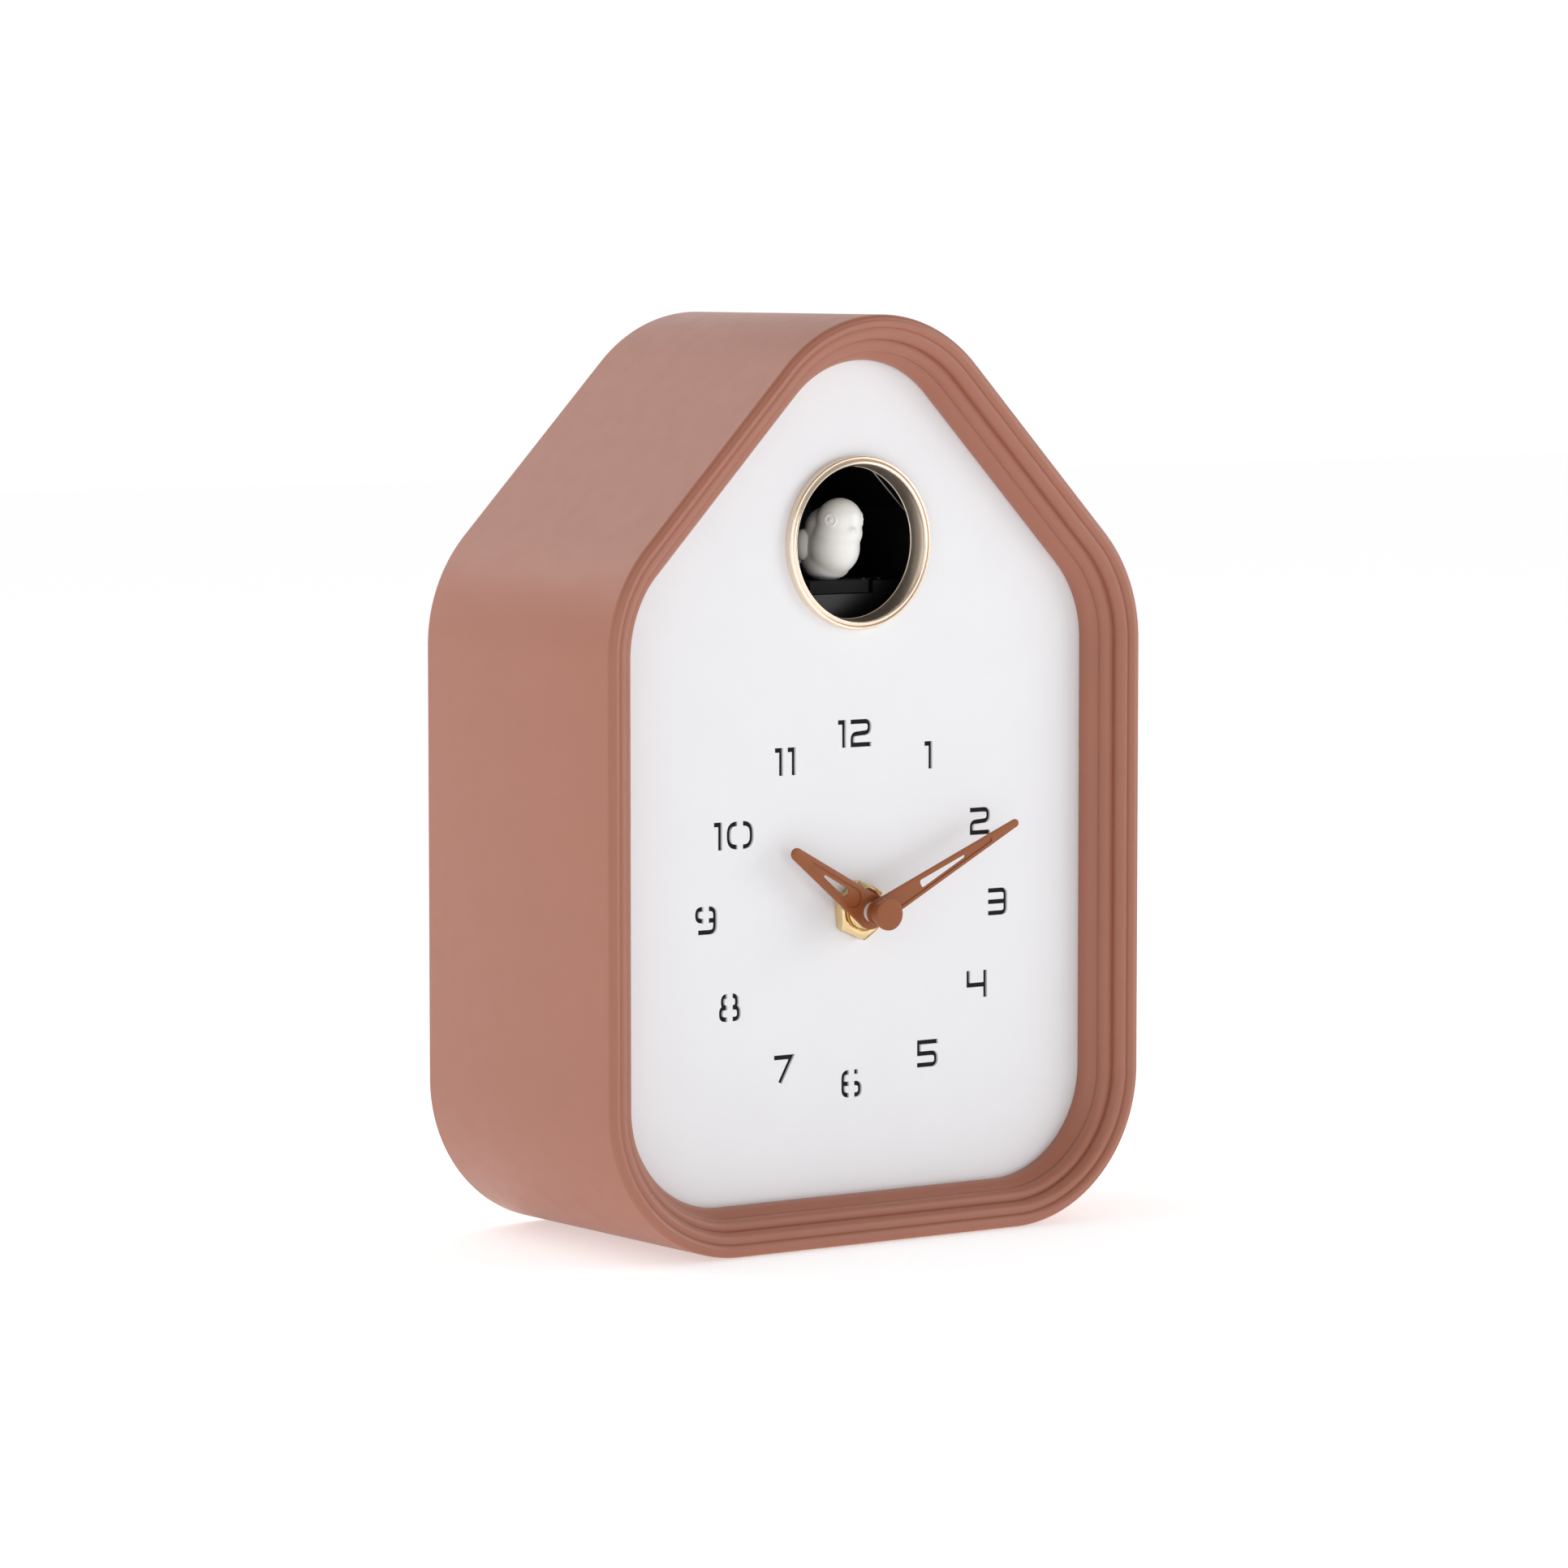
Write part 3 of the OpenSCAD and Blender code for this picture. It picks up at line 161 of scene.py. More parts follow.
def ray(angle):
    """Unit vector at an angle in degrees."""
    return Vector((math.cos(math.radians(angle)), math.sin(math.radians(angle))))


def facing(x, up, out):
    """A point given by its place across the dial, its height and its distance out from the dial."""
    return (x, DIAL_Y - out, up)


def lathe(name, profile, centre_x, centre_z, steps=96, closed=True, smooth=35):
    """Turns (radius, height above the dial) points round an axis that points out of the dial."""
    verts = []
    for k in range(steps):
        d = ray(360 * k / steps)
        verts += [facing(centre_x + r * d.x, centre_z + r * d.y, h) for r, h in profile]
    return mesh_object(name, verts, grid_faces(steps, len(profile), True, closed), smooth)


def arc(cx, cy, r, a0, a1, steps, ry=None):
    """Points along an arc of a circle, or of an ellipse if ry is given."""
    ry = r if ry is None else ry
    return [
        (cx + r * math.cos(math.radians(a0 + (a1 - a0) * k / steps)),
         cy + ry * math.sin(math.radians(a0 + (a1 - a0) * k / steps)))
        for k in range(steps + 1)
    ]


def use_modifiers(obj):
    """Applies an object's modifiers, so that its mesh is final."""
    deps = bpy.context.evaluated_depsgraph_get()
    final = bpy.data.meshes.new_from_object(obj.evaluated_get(deps))
    obj.modifiers.clear()
    obj.data = final


def cut_with(obj, tool, operation):
    """Applies a boolean between an object and a tool object, and deletes the tool."""
    cut = obj.modifiers.new(operation.lower(), "BOOLEAN")
    cut.operation = operation
    cut.object = tool
    cut.solver = "EXACT"
    use_modifiers(obj)
    bpy.data.objects.remove(tool)


def rounded(obj, width, angle):
    """Rounds an object's edges sharper than angle degrees by width, in millimetres."""
    bevel = obj.modifiers.new("round", "BEVEL")
    bevel.width = width * MM
    bevel.segments = 2
    bevel.limit_method = "ANGLE"
    bevel.angle_limit = math.radians(angle)
    bevel.use_clamp_overlap = True
    use_modifiers(obj)
    smooth_faces(obj.data)
    obj.data.set_sharp_from_angle(angle=math.radians(50))


# ---- Materials ----


class Shader:
    """A material's node tree, with short calls for the nodes that the finishes share."""

    def __init__(self, name):
        self.material = bpy.data.materials.new(name)
        self.material.use_nodes = True
        self.tree = self.material.node_tree
        self.out = self.tree.nodes["Principled BSDF"]
        self.place = self.add("ShaderNodeTexCoord").outputs["Object"]

    def add(self, kind, **settings):
        """Adds a node and sets its properties."""
        node = self.tree.nodes.new(kind)
        for key, value in settings.items():
            setattr(node, key, value)
        return node

    def link(self, source, target):
        """Joins an output to an input."""
        self.tree.links.new(source, target)

    def set(self, **values):
        """Sets the main shader's inputs; underscores stand for spaces in their names."""
        for key, value in values.items():
            self.out.inputs[key.replace("_", " ")].default_value = value

    def noise(self, size, detail=3.0, stretch=(1, 1, 1)):
        """Noise whose blobs are about size millimetres across."""
        mapping = self.add("ShaderNodeMapping")
        mapping.inputs["Scale"].default_value = stretch
        self.link(self.place, mapping.inputs["Vector"])
        noise = self.add("ShaderNodeTexNoise")
        noise.inputs["Scale"].default_value = 1 / (size * MM)
        noise.inputs["Detail"].default_value = detail
        noise.inputs["Roughness"].default_value = 0.55
        self.link(mapping.outputs["Vector"], noise.inputs["Vector"])
        return noise.outputs["Fac"]

    def spread(self, value, low, high):
        """Maps the middle of a noise value's range onto the range low to high."""
        node = self.add("ShaderNodeMapRange")
        node.inputs["From Min"].default_value = 0.3
        node.inputs["From Max"].default_value = 0.7
        node.inputs["To Min"].default_value = low
        node.inputs["To Max"].default_value = high
        self.link(value, node.inputs["Value"])
        return node.outputs["Result"]

    def cloud(self, value, colour, vary):
        """Lets noise make the base colour a little darker or lighter, by the fraction vary."""
        mix = self.add("ShaderNodeMix", data_type="RGBA")
        mix.inputs["A"].default_value = (*shade(colour, 1 - vary), 1)
        mix.inputs["B"].default_value = (*shade(colour, 1 + vary), 1)
        self.link(self.spread(value, 0, 1), mix.inputs["Factor"])
        self.link(mix.outputs["Result"], self.out.inputs["Base Color"])

    def bump(self, value, depth, normal=None):
        """Relief of the given depth in millimetres."""
        node = self.add("ShaderNodeBump")
        node.inputs["Distance"].default_value = depth * MM
        self.link(value, node.inputs["Height"])
        if normal is not None:
            self.link(normal, node.inputs["Normal"])
        return node.outputs["Normal"]


def shade(colour, factor):
    """A colour made lighter or darker."""
    return tuple(min(1, c * factor) for c in colour)


def plastic(name, colour, rough=0.5, grain=0.35, depth=0.006, vary=0.03, specular=0.5):
    """Moulded plastic: faint cloudiness in the colour, fine grain, uneven gloss."""
    s = Shader(name)
    s.set(Specular_IOR_Level=specular)
    s.cloud(s.noise(14, 4), colour, vary)
    s.link(s.spread(s.noise(5, 4), rough - 0.03, rough + 0.03), s.out.inputs["Roughness"])
    wave = s.bump(s.noise(26, 1), 0.006)
    s.link(s.bump(s.noise(grain, 2), depth, wave), s.out.inputs["Normal"])
    return s.material


def metal(name, colour, rough=0.22, brush=(1, 1, 1), vary=0.08, grain=0.3, depth=0.002, metallic=1.0):
    """Plated or painted metal with faint handling marks."""
    s = Shader(name)
    s.set(Metallic=metallic)
    s.cloud(s.noise(3, 4), colour, vary)
    s.link(s.spread(s.noise(4, 3, brush), rough * 0.85, rough * 1.15), s.out.inputs["Roughness"])
    s.link(s.bump(s.noise(grain, 3, brush), depth), s.out.inputs["Normal"])
    return s.material


PLASTICS = {
    "terracotta_abs": {"colour": (0.378, 0.136, 0.082), "rough": 0.43, "vary": 0.012, "specular": 0.65},
    "white_abs": {"colour": (0.88, 0.88, 0.90), "rough": 0.38, "depth": 0.003, "vary": 0.008},
    "black_sheet": {"colour": (0.016, 0.016, 0.017), "rough": 0.75, "specular": 0.12},
    "black_abs": {"colour": (0.006, 0.006, 0.007), "rough": 0.32, "vary": 0.1},
    "copper_paint": {"colour": (0.30, 0.085, 0.024), "rough": 0.34, "depth": 0.002, "specular": 0.4},
    "white_nylon": {"colour": (0.78, 0.78, 0.76), "rough": 0.45},
    "green_board": {"colour": (0.02, 0.12, 0.05), "rough": 0.35, "vary": 0.2},
    "white_satin": {"colour": (0.93, 0.92, 0.90), "rough": 0.3, "depth": 0.002, "vary": 0.01},
    "black_gloss": {"colour": (0.01, 0.01, 0.01), "rough": 0.1, "depth": 0.0005},
    "clear_lens": {"colour": (0.75, 0.75, 0.72), "rough": 0.08, "depth": 0.001},
    "cell_sleeve": {"colour": (0.05, 0.07, 0.09), "rough": 0.25, "vary": 0.1},
}
METALS = {
    "champagne_metal": {
        "colour": (0.90, 0.77, 0.63), "rough": 0.24, "vary": 0.02, "grain": 2, "depth": 0.001,
        "metallic": 0.85,
    },
    "zinc_steel": {"colour": (0.62, 0.63, 0.65), "rough": 0.3},
    "brass": {"colour": (0.80, 0.60, 0.33), "rough": 0.13, "vary": 0.04, "grain": 1.5, "depth": 0.001},
    "copper_wire": {"colour": (0.55, 0.22, 0.10), "rough": 0.3, "brush": (0.1, 1, 1)},
}
MATERIALS = {name: plastic(name, **look) for name, look in PLASTICS.items()}
MATERIALS.update({name: metal(name, **look) for name, look in METALS.items()})


def finish(obj, slot):
    """Gives an object one of the finishes and names its slot."""
    obj.data.materials.clear()
    obj.data.materials.append(MATERIALS[slot])


def place(obj, body, slot, *replaced):
    """Finishes a piece, sets it on a body and hides the CAD nodes that it stands for."""
    finish(obj, slot)
    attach(obj, body)
    if replaced:
        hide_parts(*replaced)


# ---- CAD parts: finishes, and softened copies of those that show ----

for part in frame["record"]["subparts"]:
    finish(nodes[part["node"]], part["material_slot"])
# These two stand low behind the port; the black finish given here is painted shade, which keeps them as
# dark as the shade inside the port
for gear in ("rack_pinion", "drive_gear"):
    finish(nodes[gear], "black_abs")


def softened(node, width, slot, body):
    """A copy of a CAD part with its sharp edges rounded, shown in its place."""
    source = nodes[node]
    mesh = source.data.copy()
    mesh.transform(source.matrix_world)
    bm = bmesh.new()
    bm.from_mesh(mesh)
    bmesh.ops.remove_doubles(bm, verts=bm.verts, dist=2e-6)
    bmesh.ops.dissolve_limit(bm, angle_limit=math.radians(1.5), verts=bm.verts, edges=bm.edges)
    bm.to_mesh(mesh)
    bm.free()
    copy = new_object("soft_" + node, mesh)
    rounded(copy, width, 45)
    place(copy, body, slot, node)


softened("battery_door", 0.35, "terracotta_abs", "door")
softened("volume_knob", 0.22, "black_abs", "volume")
softened("set_knob", 0.22, "black_abs", "setting")
softened("mode_switch", 0.12, "black_abs", "mode")
softened("cover_screws", 0.1, "zinc_steel", "case")
softened("bird_carriage", 0.15, "black_sheet", "bird")


# ---- Case: one section swept round the house outline ----


def house_corners():
    """Each rounded corner of the outline: centre, radius, first and last angle."""
    rise = CASE_H - PEAK_R - EAVE_H
    half = CASE_W / 2
    slope = math.degrees(math.acos(PEAK_R / math.hypot(half, rise)) - math.atan2(rise, half))

    def centre(vertex, r, a, b):
        return Vector(vertex) - r * (ray(a) + ray(b)) / (1 + ray(a).dot(ray(b)))

    return [
        (Vector((half - BASE_R, BASE_R)), BASE_R, -90, 0),
        (centre((half, EAVE_H), EAVE_R, 0, slope), EAVE_R, 0, slope),
        (Vector((0, CASE_H - PEAK_R)), PEAK_R, slope, 180 - slope),
        (centre((-half, EAVE_H), EAVE_R, 180 - slope, 180), EAVE_R, 180 - slope, 180),
        (Vector((-half + BASE_R, BASE_R)), BASE_R, 180, 270),
    ]


def ridge(p, q, rise, wave):
    """Points of a ridge from just after groove p up to groove q."""
    along = Vector(q) - Vector(p)
    normal = Vector((along.y, -along.x)).normalized()
    points = []
    for k in range(1, RIDGE_STEPS + 1):
        t = k / RIDGE_STEPS
        full = (1 - abs(2 * t - 1) ** CROWN_POWER) if k < RIDGE_STEPS else 0
        crown = full + (math.sin(math.pi * t) ** 2 - full) * wave
        points.append(Vector(p) + along * t + normal * rise * crown)
    return points


def case_section():
    """The case's section: distance in from the outer wall, distance back from the front."""
    points = arc(EDGE_R, EDGE_R, EDGE_R, 180, 270, 8)
    for i, rise in enumerate(BULGES):
        points += ridge(GROOVES[i], GROOVES[i + 1], rise, WAVES[i])
    # The step for the dial sheet, then the slope to the wall's inner face
    points += [(NEST_W, DIAL_DROP), (NEST_W, NEST_BACK), (NEST_W - 1.5, NEST_BACK), (WALL, WALL_START)]
    # The wall's rear edge
    chamfer, edge_r = 0.4, 0.7
    points += [(WALL, CASE_D - chamfer), (WALL - chamfer, CASE_D)]
    points += arc(edge_r, CASE_D - edge_r, edge_r, 90, 180, 5)
    return [Vector(p) for p in points]


def sweep_case():
    """The case shell, with a station every two degrees or closer round each corner."""
    section = case_section()
    verts = []
    stations = 0
    for centre, r, a0, a1 in house_corners():
        steps = max(8, round((a1 - a0) / 2))
        for k in range(steps + 1):
            d = ray(a0 + (a1 - a0) * k / steps)
            for w, back in section:
                p = centre + (r - w) * d
                verts.append((p.x, FRONT_Y + back, p.y))
            stations += 1
    shell = mesh_object("case", verts, grid_faces(stations, len(section), True, True), smooth=50)
    place(shell, "case", "terracotta_abs", "case_shell")


sweep_case()


# ---- Gold ring round the bird's port, and a painted glint inside it ----


def port_ring():
    """The turned ring: a neck through the dial, a grooved face and a curved mouth into the bore."""
    top = 2.2
    neck_r, neck_back, seat = 18, -3.02, 0.02
    lip, face_w, mouth = 0.45, 0.81, PORT_R - 1.59
    profile = [(PORT_BORE, -2.55)] + arc(PORT_BORE + 0.12, -2.78, 0.24, 120, 270, 8)
    profile += [(neck_r, neck_back), (neck_r, seat), (PORT_R, seat), (PORT_R, top - 0.8)]
    profile += arc(PORT_R - lip, top - 0.72, lip, 20, 90, 6)
    profile += [(PORT_R - 0.62, top - 0.3), (PORT_R - 0.7, top - 0.5), (PORT_R - 0.78, top - 0.36)]
    profile += arc(mouth, top - 0.7, face_w, 12, 90, 9, 0.7)
    profile += arc(mouth, top - 3.6, face_w, 88, 180, 24, 3.6)
    ring = lathe("ring", profile, 0, PORT_H, steps=160, smooth=40)
    place(ring, "case", "champagne_metal", "port_ring")


def rib_glint_strip():
    """A thin bright steel strip along the rib under the right-hand slope of the bird's chamber: a
    painted glint that stands in for the highlight on the black rib's edge.
    """
    start, end = Vector((20.3, PORT_H + 6.5)), Vector((6.9, PORT_H + 19.9))
    depth, radius, sides = -9.0, 0.16, 12
    along = (end - start).normalized()
    normal = Vector((along.y, -along.x))
    verts = []
    for p in (start, end):
        for k in range(sides):
            d = ray(360 * k / sides)
            q = p + normal * radius * d.x
            verts.append(facing(q.x, q.y, depth + radius * d.y))
    faces = grid_faces(2, sides, False, True)
    faces += [tuple(range(sides)), tuple(range(2 * sides - 1, sides - 1, -1))]
    # The steel finish is a painted glint: the real rib is black plastic, and only its edge catches the
    # light
    place(mesh_object("rib_glint_strip", verts, faces), "case", "zinc_steel")


port_ring()
rib_glint_strip()


# ---- Hands and what holds them ----

# A hand's thickness, the radius of its soft edges and the depth of its recess, in millimetres
BLADE_THICK = 0.7
BLADE_SOFT = 0.1
RECESS_DEPTH = 0.24


def recess_cutter(recess, half_width):
    """The block that sinks the shallow recess into a hand's front face."""
    low, high = BLADE_THICK / 2 - RECESS_DEPTH, BLADE_THICK / 2 + 1
    near = recess[0] + half_width(recess[0])
    far = recess[1] - half_width(recess[1])
    shape = arc(0, near, half_width(near), 180, 360, 20) + arc(0, far, half_width(far), 0, 180, 16)
    verts = [(x, y, low) for x, y in shape] + [(x, y, high) for x, y in shape]
    return mesh_object("cutter", verts, prism_faces(len(shape)))


def hand_blade(name, length, root_hw, tip_hw, border, slot, slot_hw, recess, lift, angle):
    """A tapered hand with soft edges, and a slot inside a shallow recess.

    Half widths end in _hw. Slot and recess give where along the hand each starts and ends, border is
    what stands round the recess, and lift is the height of the hand's back above the dial.
    """
    tip = length - tip_hw

    def recess_hw(y):
        return root_hw + (tip_hw - root_hw) * y / tip - border

    outline = arc(0, 0, root_hw - BLADE_SOFT, 180, 360, 28)
    outline += arc(0, tip, tip_hw - BLADE_SOFT, 0, 180, 16)
    slot_tip = 0.35 + BLADE_SOFT
    slot_shape = arc(0, slot[0] + 0.5, slot_hw + BLADE_SOFT, 180, 360, 14, 0.6)
    slot_shape += arc(0, slot[1] - 0.4, slot_tip, 0, 180, 10, 0.5)
    curve = bpy.data.curves.new(name, "CURVE")
    curve.dimensions = "2D"
    curve.fill_mode = "BOTH"
    curve.extrude = (BLADE_THICK / 2 - BLADE_SOFT) * MM
    curve.bevel_depth = BLADE_SOFT * MM
    curve.bevel_resolution = 2
    for points in (outline, slot_shape):
        spline = curve.splines.new("POLY")
        spline.points.add(len(points) - 1)
        for point, (x, y) in zip(spline.points, points):
            point.co = (x * MM, y * MM, 0, 1)
        spline.use_cyclic_u = True
    made = new_object(name, curve)
    mesh = bpy.data.meshes.new_from_object(made.evaluated_get(bpy.context.evaluated_depsgraph_get()))
    bpy.data.objects.remove(made)
    blade = new_object(name, mesh)
    tidy_mesh(blade.data, 40)
    cut_with(blade, recess_cutter(recess, recess_hw), "DIFFERENCE")
    stand = Matrix.Translation(Vector(facing(0, HUB_H, lift + BLADE_THICK / 2)) * MM)
    turn = Matrix.Rotation(math.radians(90), 4, "X") @ Matrix.Rotation(math.radians(-angle), 4, "Z")
    blade.data.transform(stand @ turn)
    tidy_mesh(blade.data, 30)
    return blade


def boss(name, low, high, inner, outer):
    """The raised ring round a hand's hole, with a soft edge."""
    soft = 0.12
    profile = [(inner, low), (outer, low), (outer, high - soft)]
    profile += arc(outer - soft, high - soft, soft, 0, 90, 4) + [(inner, high)]
    return lathe(name, profile, 0, HUB_H, 72)


def hub_cap():
    """The cap on the minute hand: a plug in the hole, a drum, and a wider head with soft edges."""
    profile = [(0, 10.8), (1.57, 10.8), (1.57, 8.9), (2.5, 8.9), (2.5, 10.3), (2.9, 10.35), (3, 10.45)]
    profile += [(3, 11.7), (2.85, 11.85), (2.85, 11.98), (3.35, 12)]
    profile += arc(3.45, 12.2, 0.2, 270, 360, 4)
    profile += arc(3.4, 12.85, 0.25, 0, 90, 5) + [(2.6, 13.12), (0, 13.14)]
    return lathe("hand_cap", profile, 0, HUB_H, 72, closed=False)


def hands():
    """Both hands with their bosses, and the cap."""
    hour = hand_blade(
        "hour_blade", length=26.4, root_hw=4, tip_hw=1.45, border=1.15,
        slot=(7.8, 15.8), slot_hw=1.05, recess=(3.6, 20.6), lift=5.3, angle=HOUR_ANGLE)
    place(hour, "hour", "copper_paint", "hour_hand")
    place(boss("hour_boss", 5.35, 6.15, 2.32, 2.9), "hour", "copper_paint")
    minute = hand_blade(
        "minute_blade", length=44, root_hw=2.85, tip_hw=0.9, border=0.75,
        slot=(13.4, 27.3), slot_hw=0.98, recess=(3.4, 35.5), lift=7.9, angle=MINUTE_ANGLE)
    place(minute, "minute", "copper_paint", "minute_hand")
    place(boss("minute_boss", 7.95, 8.75, 1.57, 2.6), "minute", "copper_paint")
    place(hub_cap(), "minute", "copper_paint", "hub_cap")


def hex_nut():
    """Hexagon nut with turned chamfers and softened edges."""
    low, high, corner, bore = 0.5, 3.2, 6.9, 4.12
    waist, first_corner = corner + 0.2, 36
    sides = [corner * ray(first_corner + 60 * k) for k in range(6)]
    verts = [facing(p.x, HUB_H + p.y, h) for h in (low, high) for p in sides]
    nut = mesh_object("nut", verts, prism_faces(6))
    profile = [(bore, low - 1), (corner - 0.5, low - 1), (corner - 0.5, low), (waist, low + 0.45)]
    profile += [(waist, high - 1.05), (corner - 1.5, high), (bore + 0.35, high), (bore, high - 0.3)]
    cut_with(nut, lathe("form", profile, 0, HUB_H, 120), "INTERSECT")
    rounded(nut, 0.12, 28)
    place(nut, "case", "brass", "shaft_nut")


def threaded_bush():
    """The visible end of the threaded bush: a true helix between two turned ends."""
    low, high, outer, inner, pitch, cut = 0.0, 4.9, 4.08, 2.37, 0.75, 0.34
    top = high - 0.15
    steps, rows = 96, 60
    verts = []
    for k in range(steps):
        d = ray(360 * k / steps)
        column = [(inner, low), (outer - cut, low)]
        for j in range(rows + 1):
            h = low + (top - low) * j / rows
            phase = (h / pitch - k / steps) % 1
            column.append((outer - cut * abs(2 * phase - 1), h))
        column += [(outer - cut - 0.1, high), (inner, high)]
        verts += [facing(r * d.x, HUB_H + r * d.y, h) for r, h in column]
    bush = mesh_object("thread", verts, grid_faces(steps, rows + 5, True, True), smooth=40)
    place(bush, "case", "brass")


hands()
hex_nut()
threaded_bush()


# ---- Bird ----

HEAD = Vector((0, -20.8, 163.3))
LEAN = Matrix.Rotation(math.radians(-12), 4, "X")


def ball(bm, centre, radii, turn=None):
    """Adds an ellipsoid to a mesh being built."""
    made = bmesh.ops.create_icosphere(bm, subdivisions=4, radius=1)
    matrix = Matrix.Translation(Vector(centre) * MM)
    if turn is not None:
        matrix = matrix @ turn
    matrix = matrix @ Matrix.Diagonal((*[r * MM for r in radii], 1))
    bmesh.ops.transform(bm, matrix=matrix, verts=made["verts"])


def balls_mesh(name, balls):
    """A mesh of several ellipsoids."""
    mesh = bpy.data.meshes.new(name)
    bm = bmesh.new()
    for entry in balls:
        ball(bm, *entry)
    bm.to_mesh(mesh)
    bm.free()
    return mesh


def blended(name, balls, voxel, smooth_steps):
    """Ellipsoids melted into one smooth skin."""
    obj = new_object(name, balls_mesh(name, balls))
    remesh = obj.modifiers.new("skin", "REMESH")
    remesh.mode = "VOXEL"
    remesh.voxel_size = voxel * MM
    melt = obj.modifiers.new("melt", "SMOOTH")
    melt.factor = 0.5
    melt.iterations = smooth_steps
    use_modifiers(obj)
    smooth_faces(obj.data)
    return obj


def eyelid(name, centre, look):
    """A small raised ring round an eye, facing along look."""
    ring_r, thick, steps, sides = 1.3, 0.34, 40, 12
    across = look.cross(Vector((0, 0, 1))).normalized()
    up = across.cross(look)
    verts = []
    for k in range(steps):
        d = ray(360 * k / steps)
        outward = across * d.x + up * d.y
        for j in range(sides):
            c = ray(360 * j / sides)
            verts.append(centre + outward * (ring_r + thick * c.x) + look * thick * c.y)
    return mesh_object(name, verts, grid_faces(steps, sides, True, True), smooth=80)


def eye_and_wing(side):
    """The eye, its lid and the wing of one side: -1 for the viewer's left, 1 for the right."""
    tag = "left" if side < 0 else "right"
    look = Vector((side * 4.3, -2.5, 0.2)).normalized()
    place(eyelid("eyelid_" + tag, HEAD + look * 4.9, look), "bird", "white_satin")
    wing = blended("wing_" + tag, [
        ((side * 4.9, -13.4, 157.6), (2.1, 2.6, 3.6)),
        ((side * 4.4, -10.6, 156), (1.9, 3, 3)),
        ((side * 3.9, -8, 154.6), (1.3, 2.6, 1.8)),
    ], 0.22, 5)
    place(wing, "bird", "white_satin")
    eye_mesh = balls_mesh("eye_" + tag, [(HEAD + look * 4.8, (0.66, 0.66, 0.66))])
    smooth_faces(eye_mesh)
    place(new_object("eye_" + tag, eye_mesh), "bird", "white_satin")


def bird():
    """The bird; its skin takes the place of the CAD's body, beak, wings and eyes."""
    skin = blended("bird_skin", [
        # Head
        (HEAD, (5.35, 5.2, 5.1)),
        # Nape
        ((0, -16.4, 161.2), (5.4, 5.6, 5.2)),
        # Breast
        ((0, -18.4, 157.2), (5.9, 6.4, 6.6), LEAN),
        # Belly
        ((0, -15.6, 153.8), (5.4, 6.2, 4.6)),
        # Back
        ((0, -11.4, 157), (4.8, 5.4, 5), LEAN),
        # Underside that rests on the carriage
        ((0, -15.8, 152.1), (5.0, 5.4, 2.6)),
        # Beak
        ((0, -25.5, 161.3), (0.9, 1.2, 0.7)),
        # Throat
        ((0, -20, 160.4), (5.7, 5.8, 4.4)),
    ], 0.28, 26)
    place(skin, "bird", "white_satin", "bird_body", "bird_beak")
    for side in (-1, 1):
        eye_and_wing(side)
    for hidden in ("bird_wings", "bird_eyes"):
        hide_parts(hidden)


bird()


# ---- Floor, light and camera ----

# Middle of the clock, which the lamps look at, and the camera's place, in metres
TARGET = Vector((0, 0, 0.105))
CAMERA_AT = (-0.8461, -1.1921, 0.2252)
# Degrees that the camera looks down and turns to the right
CAMERA_DIP = 4.826
CAMERA_TURN = 35.343
# Direction in which the room gets brighter
ROOM_BRIGHT = (0.35, 0.9, -0.45)
# How far the floor reaches, and how far it lies under the clock, in millimetres
FLOOR_EDGE = 4000
FLOOR_DROP = 0.3


def area_light(name, direction, distance, size, power):
    """A square soft box, size and distance in metres, that looks at the middle of the clock."""
    data = bpy.data.lights.new(name, "AREA")
    data.shape = "RECTANGLE"
    data.size = size
    data.size_y = size
    data.energy = power
    lamp = new_object(name, data)
    away = Vector(direction).normalized()
    lamp.location = TARGET + away * distance
    lamp.rotation_euler = away.to_track_quat("Z", "Y").to_euler()


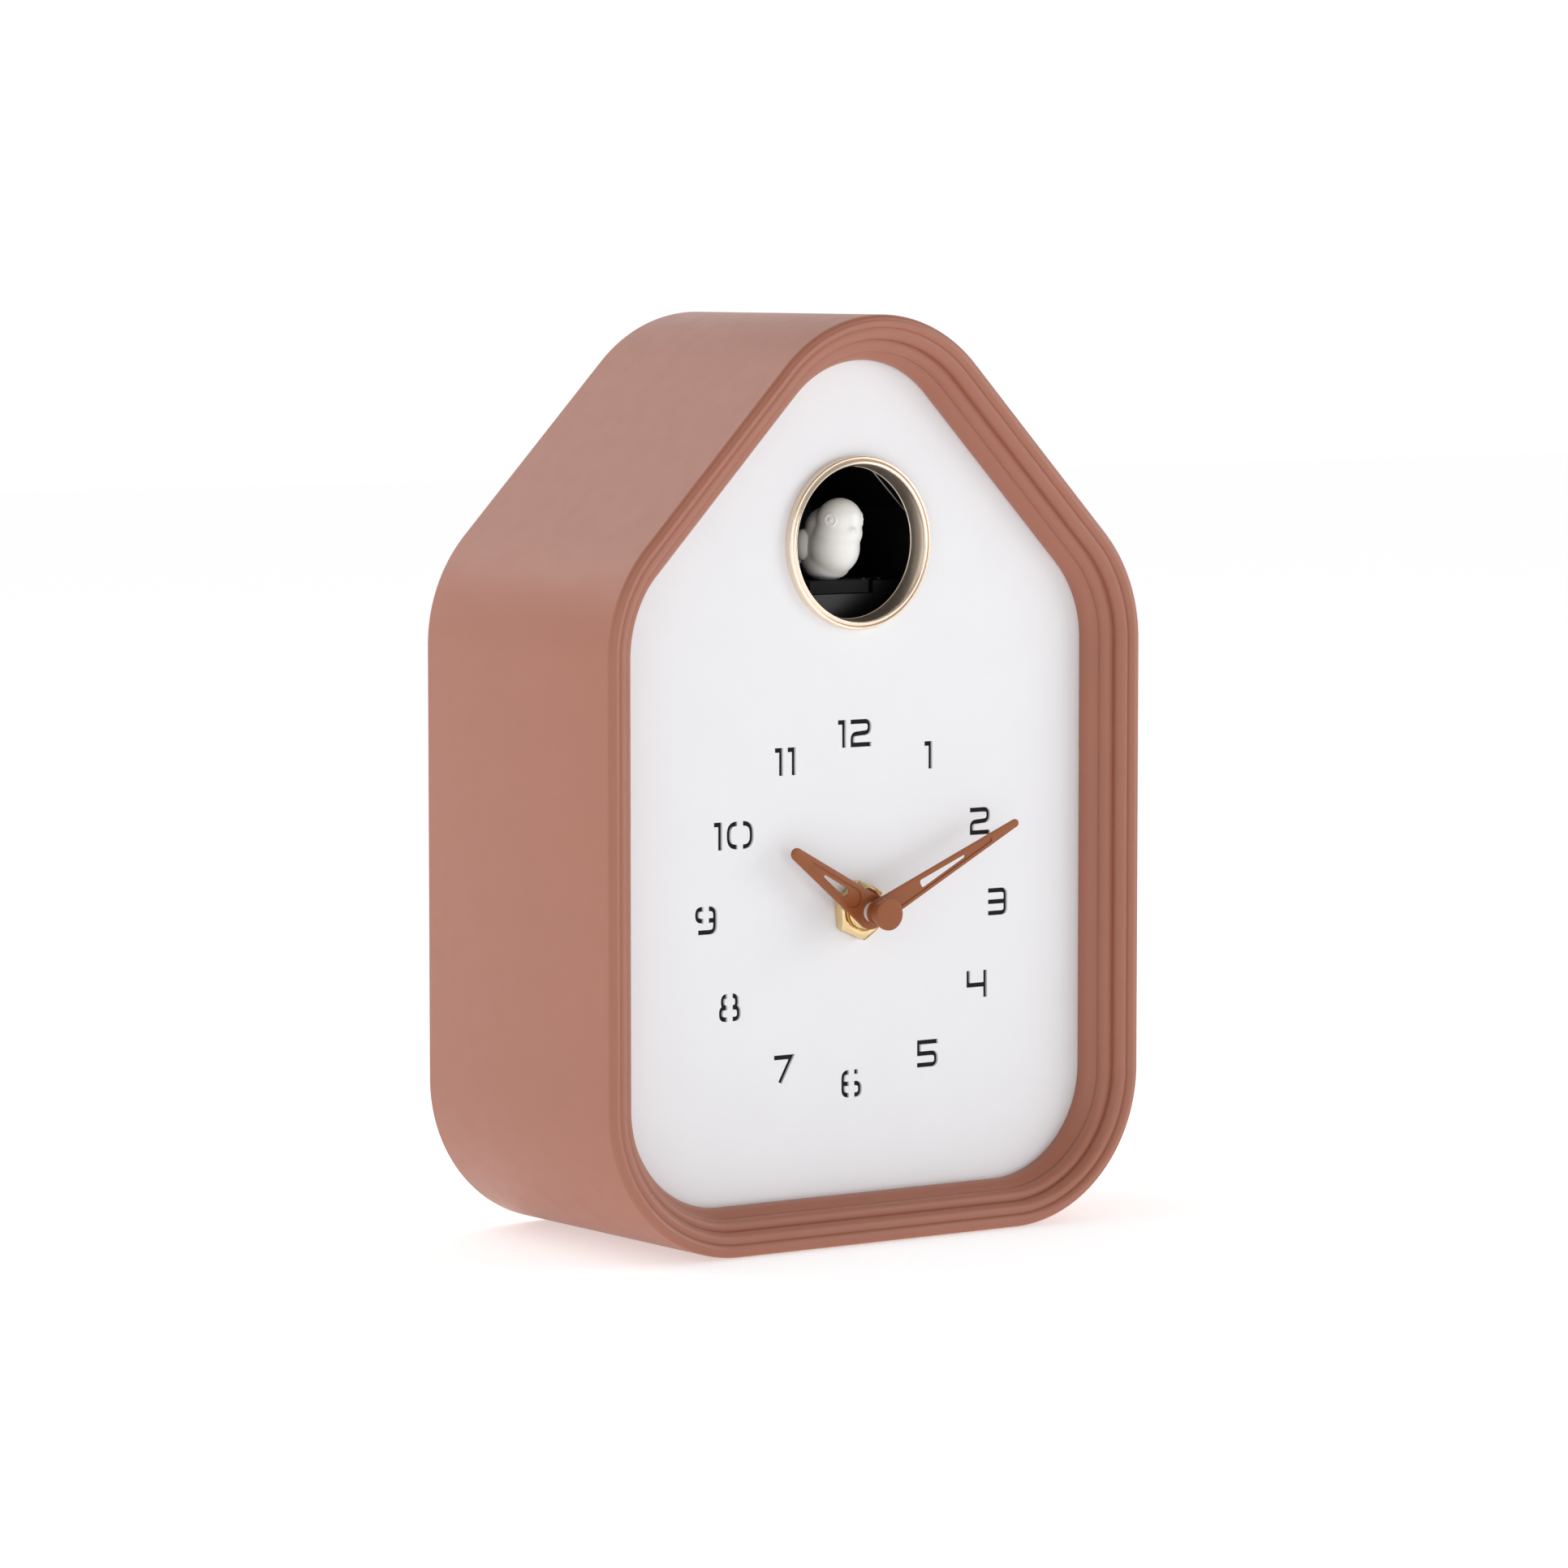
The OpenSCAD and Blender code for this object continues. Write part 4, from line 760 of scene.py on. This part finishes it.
def surroundings():
    """A white room that is dimmer in front of the clock and overhead."""
    world = bpy.data.worlds.new("studio")
    scene.world = world
    world.use_nodes = True
    tree = world.node_tree
    way = tree.nodes.new("ShaderNodeTexCoord")
    toward = tree.nodes.new("ShaderNodeVectorMath")
    toward.operation = "DOT_PRODUCT"
    toward.inputs[1].default_value = ROOM_BRIGHT
    level = tree.nodes.new("ShaderNodeMapRange")
    level.interpolation_type = "SMOOTHSTEP"
    level.inputs["From Min"].default_value = -0.7
    level.inputs["From Max"].default_value = 0.35
    level.inputs["To Min"].default_value = 0.31
    level.inputs["To Max"].default_value = 1.02
    tree.links.new(way.outputs["Generated"], toward.inputs[0])
    tree.links.new(toward.outputs["Value"], level.inputs["Value"])
    tree.links.new(level.outputs["Result"], tree.nodes["Background"].inputs["Strength"])
    tree.nodes["Background"].inputs["Color"].default_value = (1, 1, 1, 1)


def floor():
    """A wide pale floor just under the clock, which glows by itself so that it stays white."""
    e = FLOOR_EDGE
    corners = [(-e, -e, -FLOOR_DROP), (e, -e, -FLOOR_DROP), (e, e, -FLOOR_DROP), (-e, e, -FLOOR_DROP)]
    ground = mesh_object("floor", corners, [(0, 1, 2, 3)])
    s = Shader("floor_paint")
    s.set(Base_Color=(0.85, 0.85, 0.85, 1), Roughness=0.9, Specular_IOR_Level=0.1)
    s.set(Emission_Color=(1, 1, 1, 1), Emission_Strength=0.47)
    ground.data.materials.append(s.material)


def studio():
    """The room, the lamps and the floor."""
    surroundings()
    area_light("right_front", (0.80, -0.62, 0.22), 1.2, 0.6, 3.2)
    area_light("left", (-1, -0.4, 0.25), 1.2, 1.0, 2.2)
    area_light("front", (-0.25, -1, 0.15), 1.4, 0.35, 1.6)
    area_light("roof", (-0.6, 0.8, 1), 1.3, 1.0, 4)
    floor()


def camera():
    """A long lens to the left of the clock and a little above its middle."""
    data = bpy.data.cameras.new("camera")
    data.sensor_width = 36
    data.lens = 146.2
    data.clip_end = 50
    cam = new_object("camera", data)
    cam.location = CAMERA_AT
    cam.rotation_euler = (math.radians(90 - CAMERA_DIP), 0, math.radians(-CAMERA_TURN))
    scene.camera = cam


studio()
camera()
scene.view_settings.view_transform = "Standard"
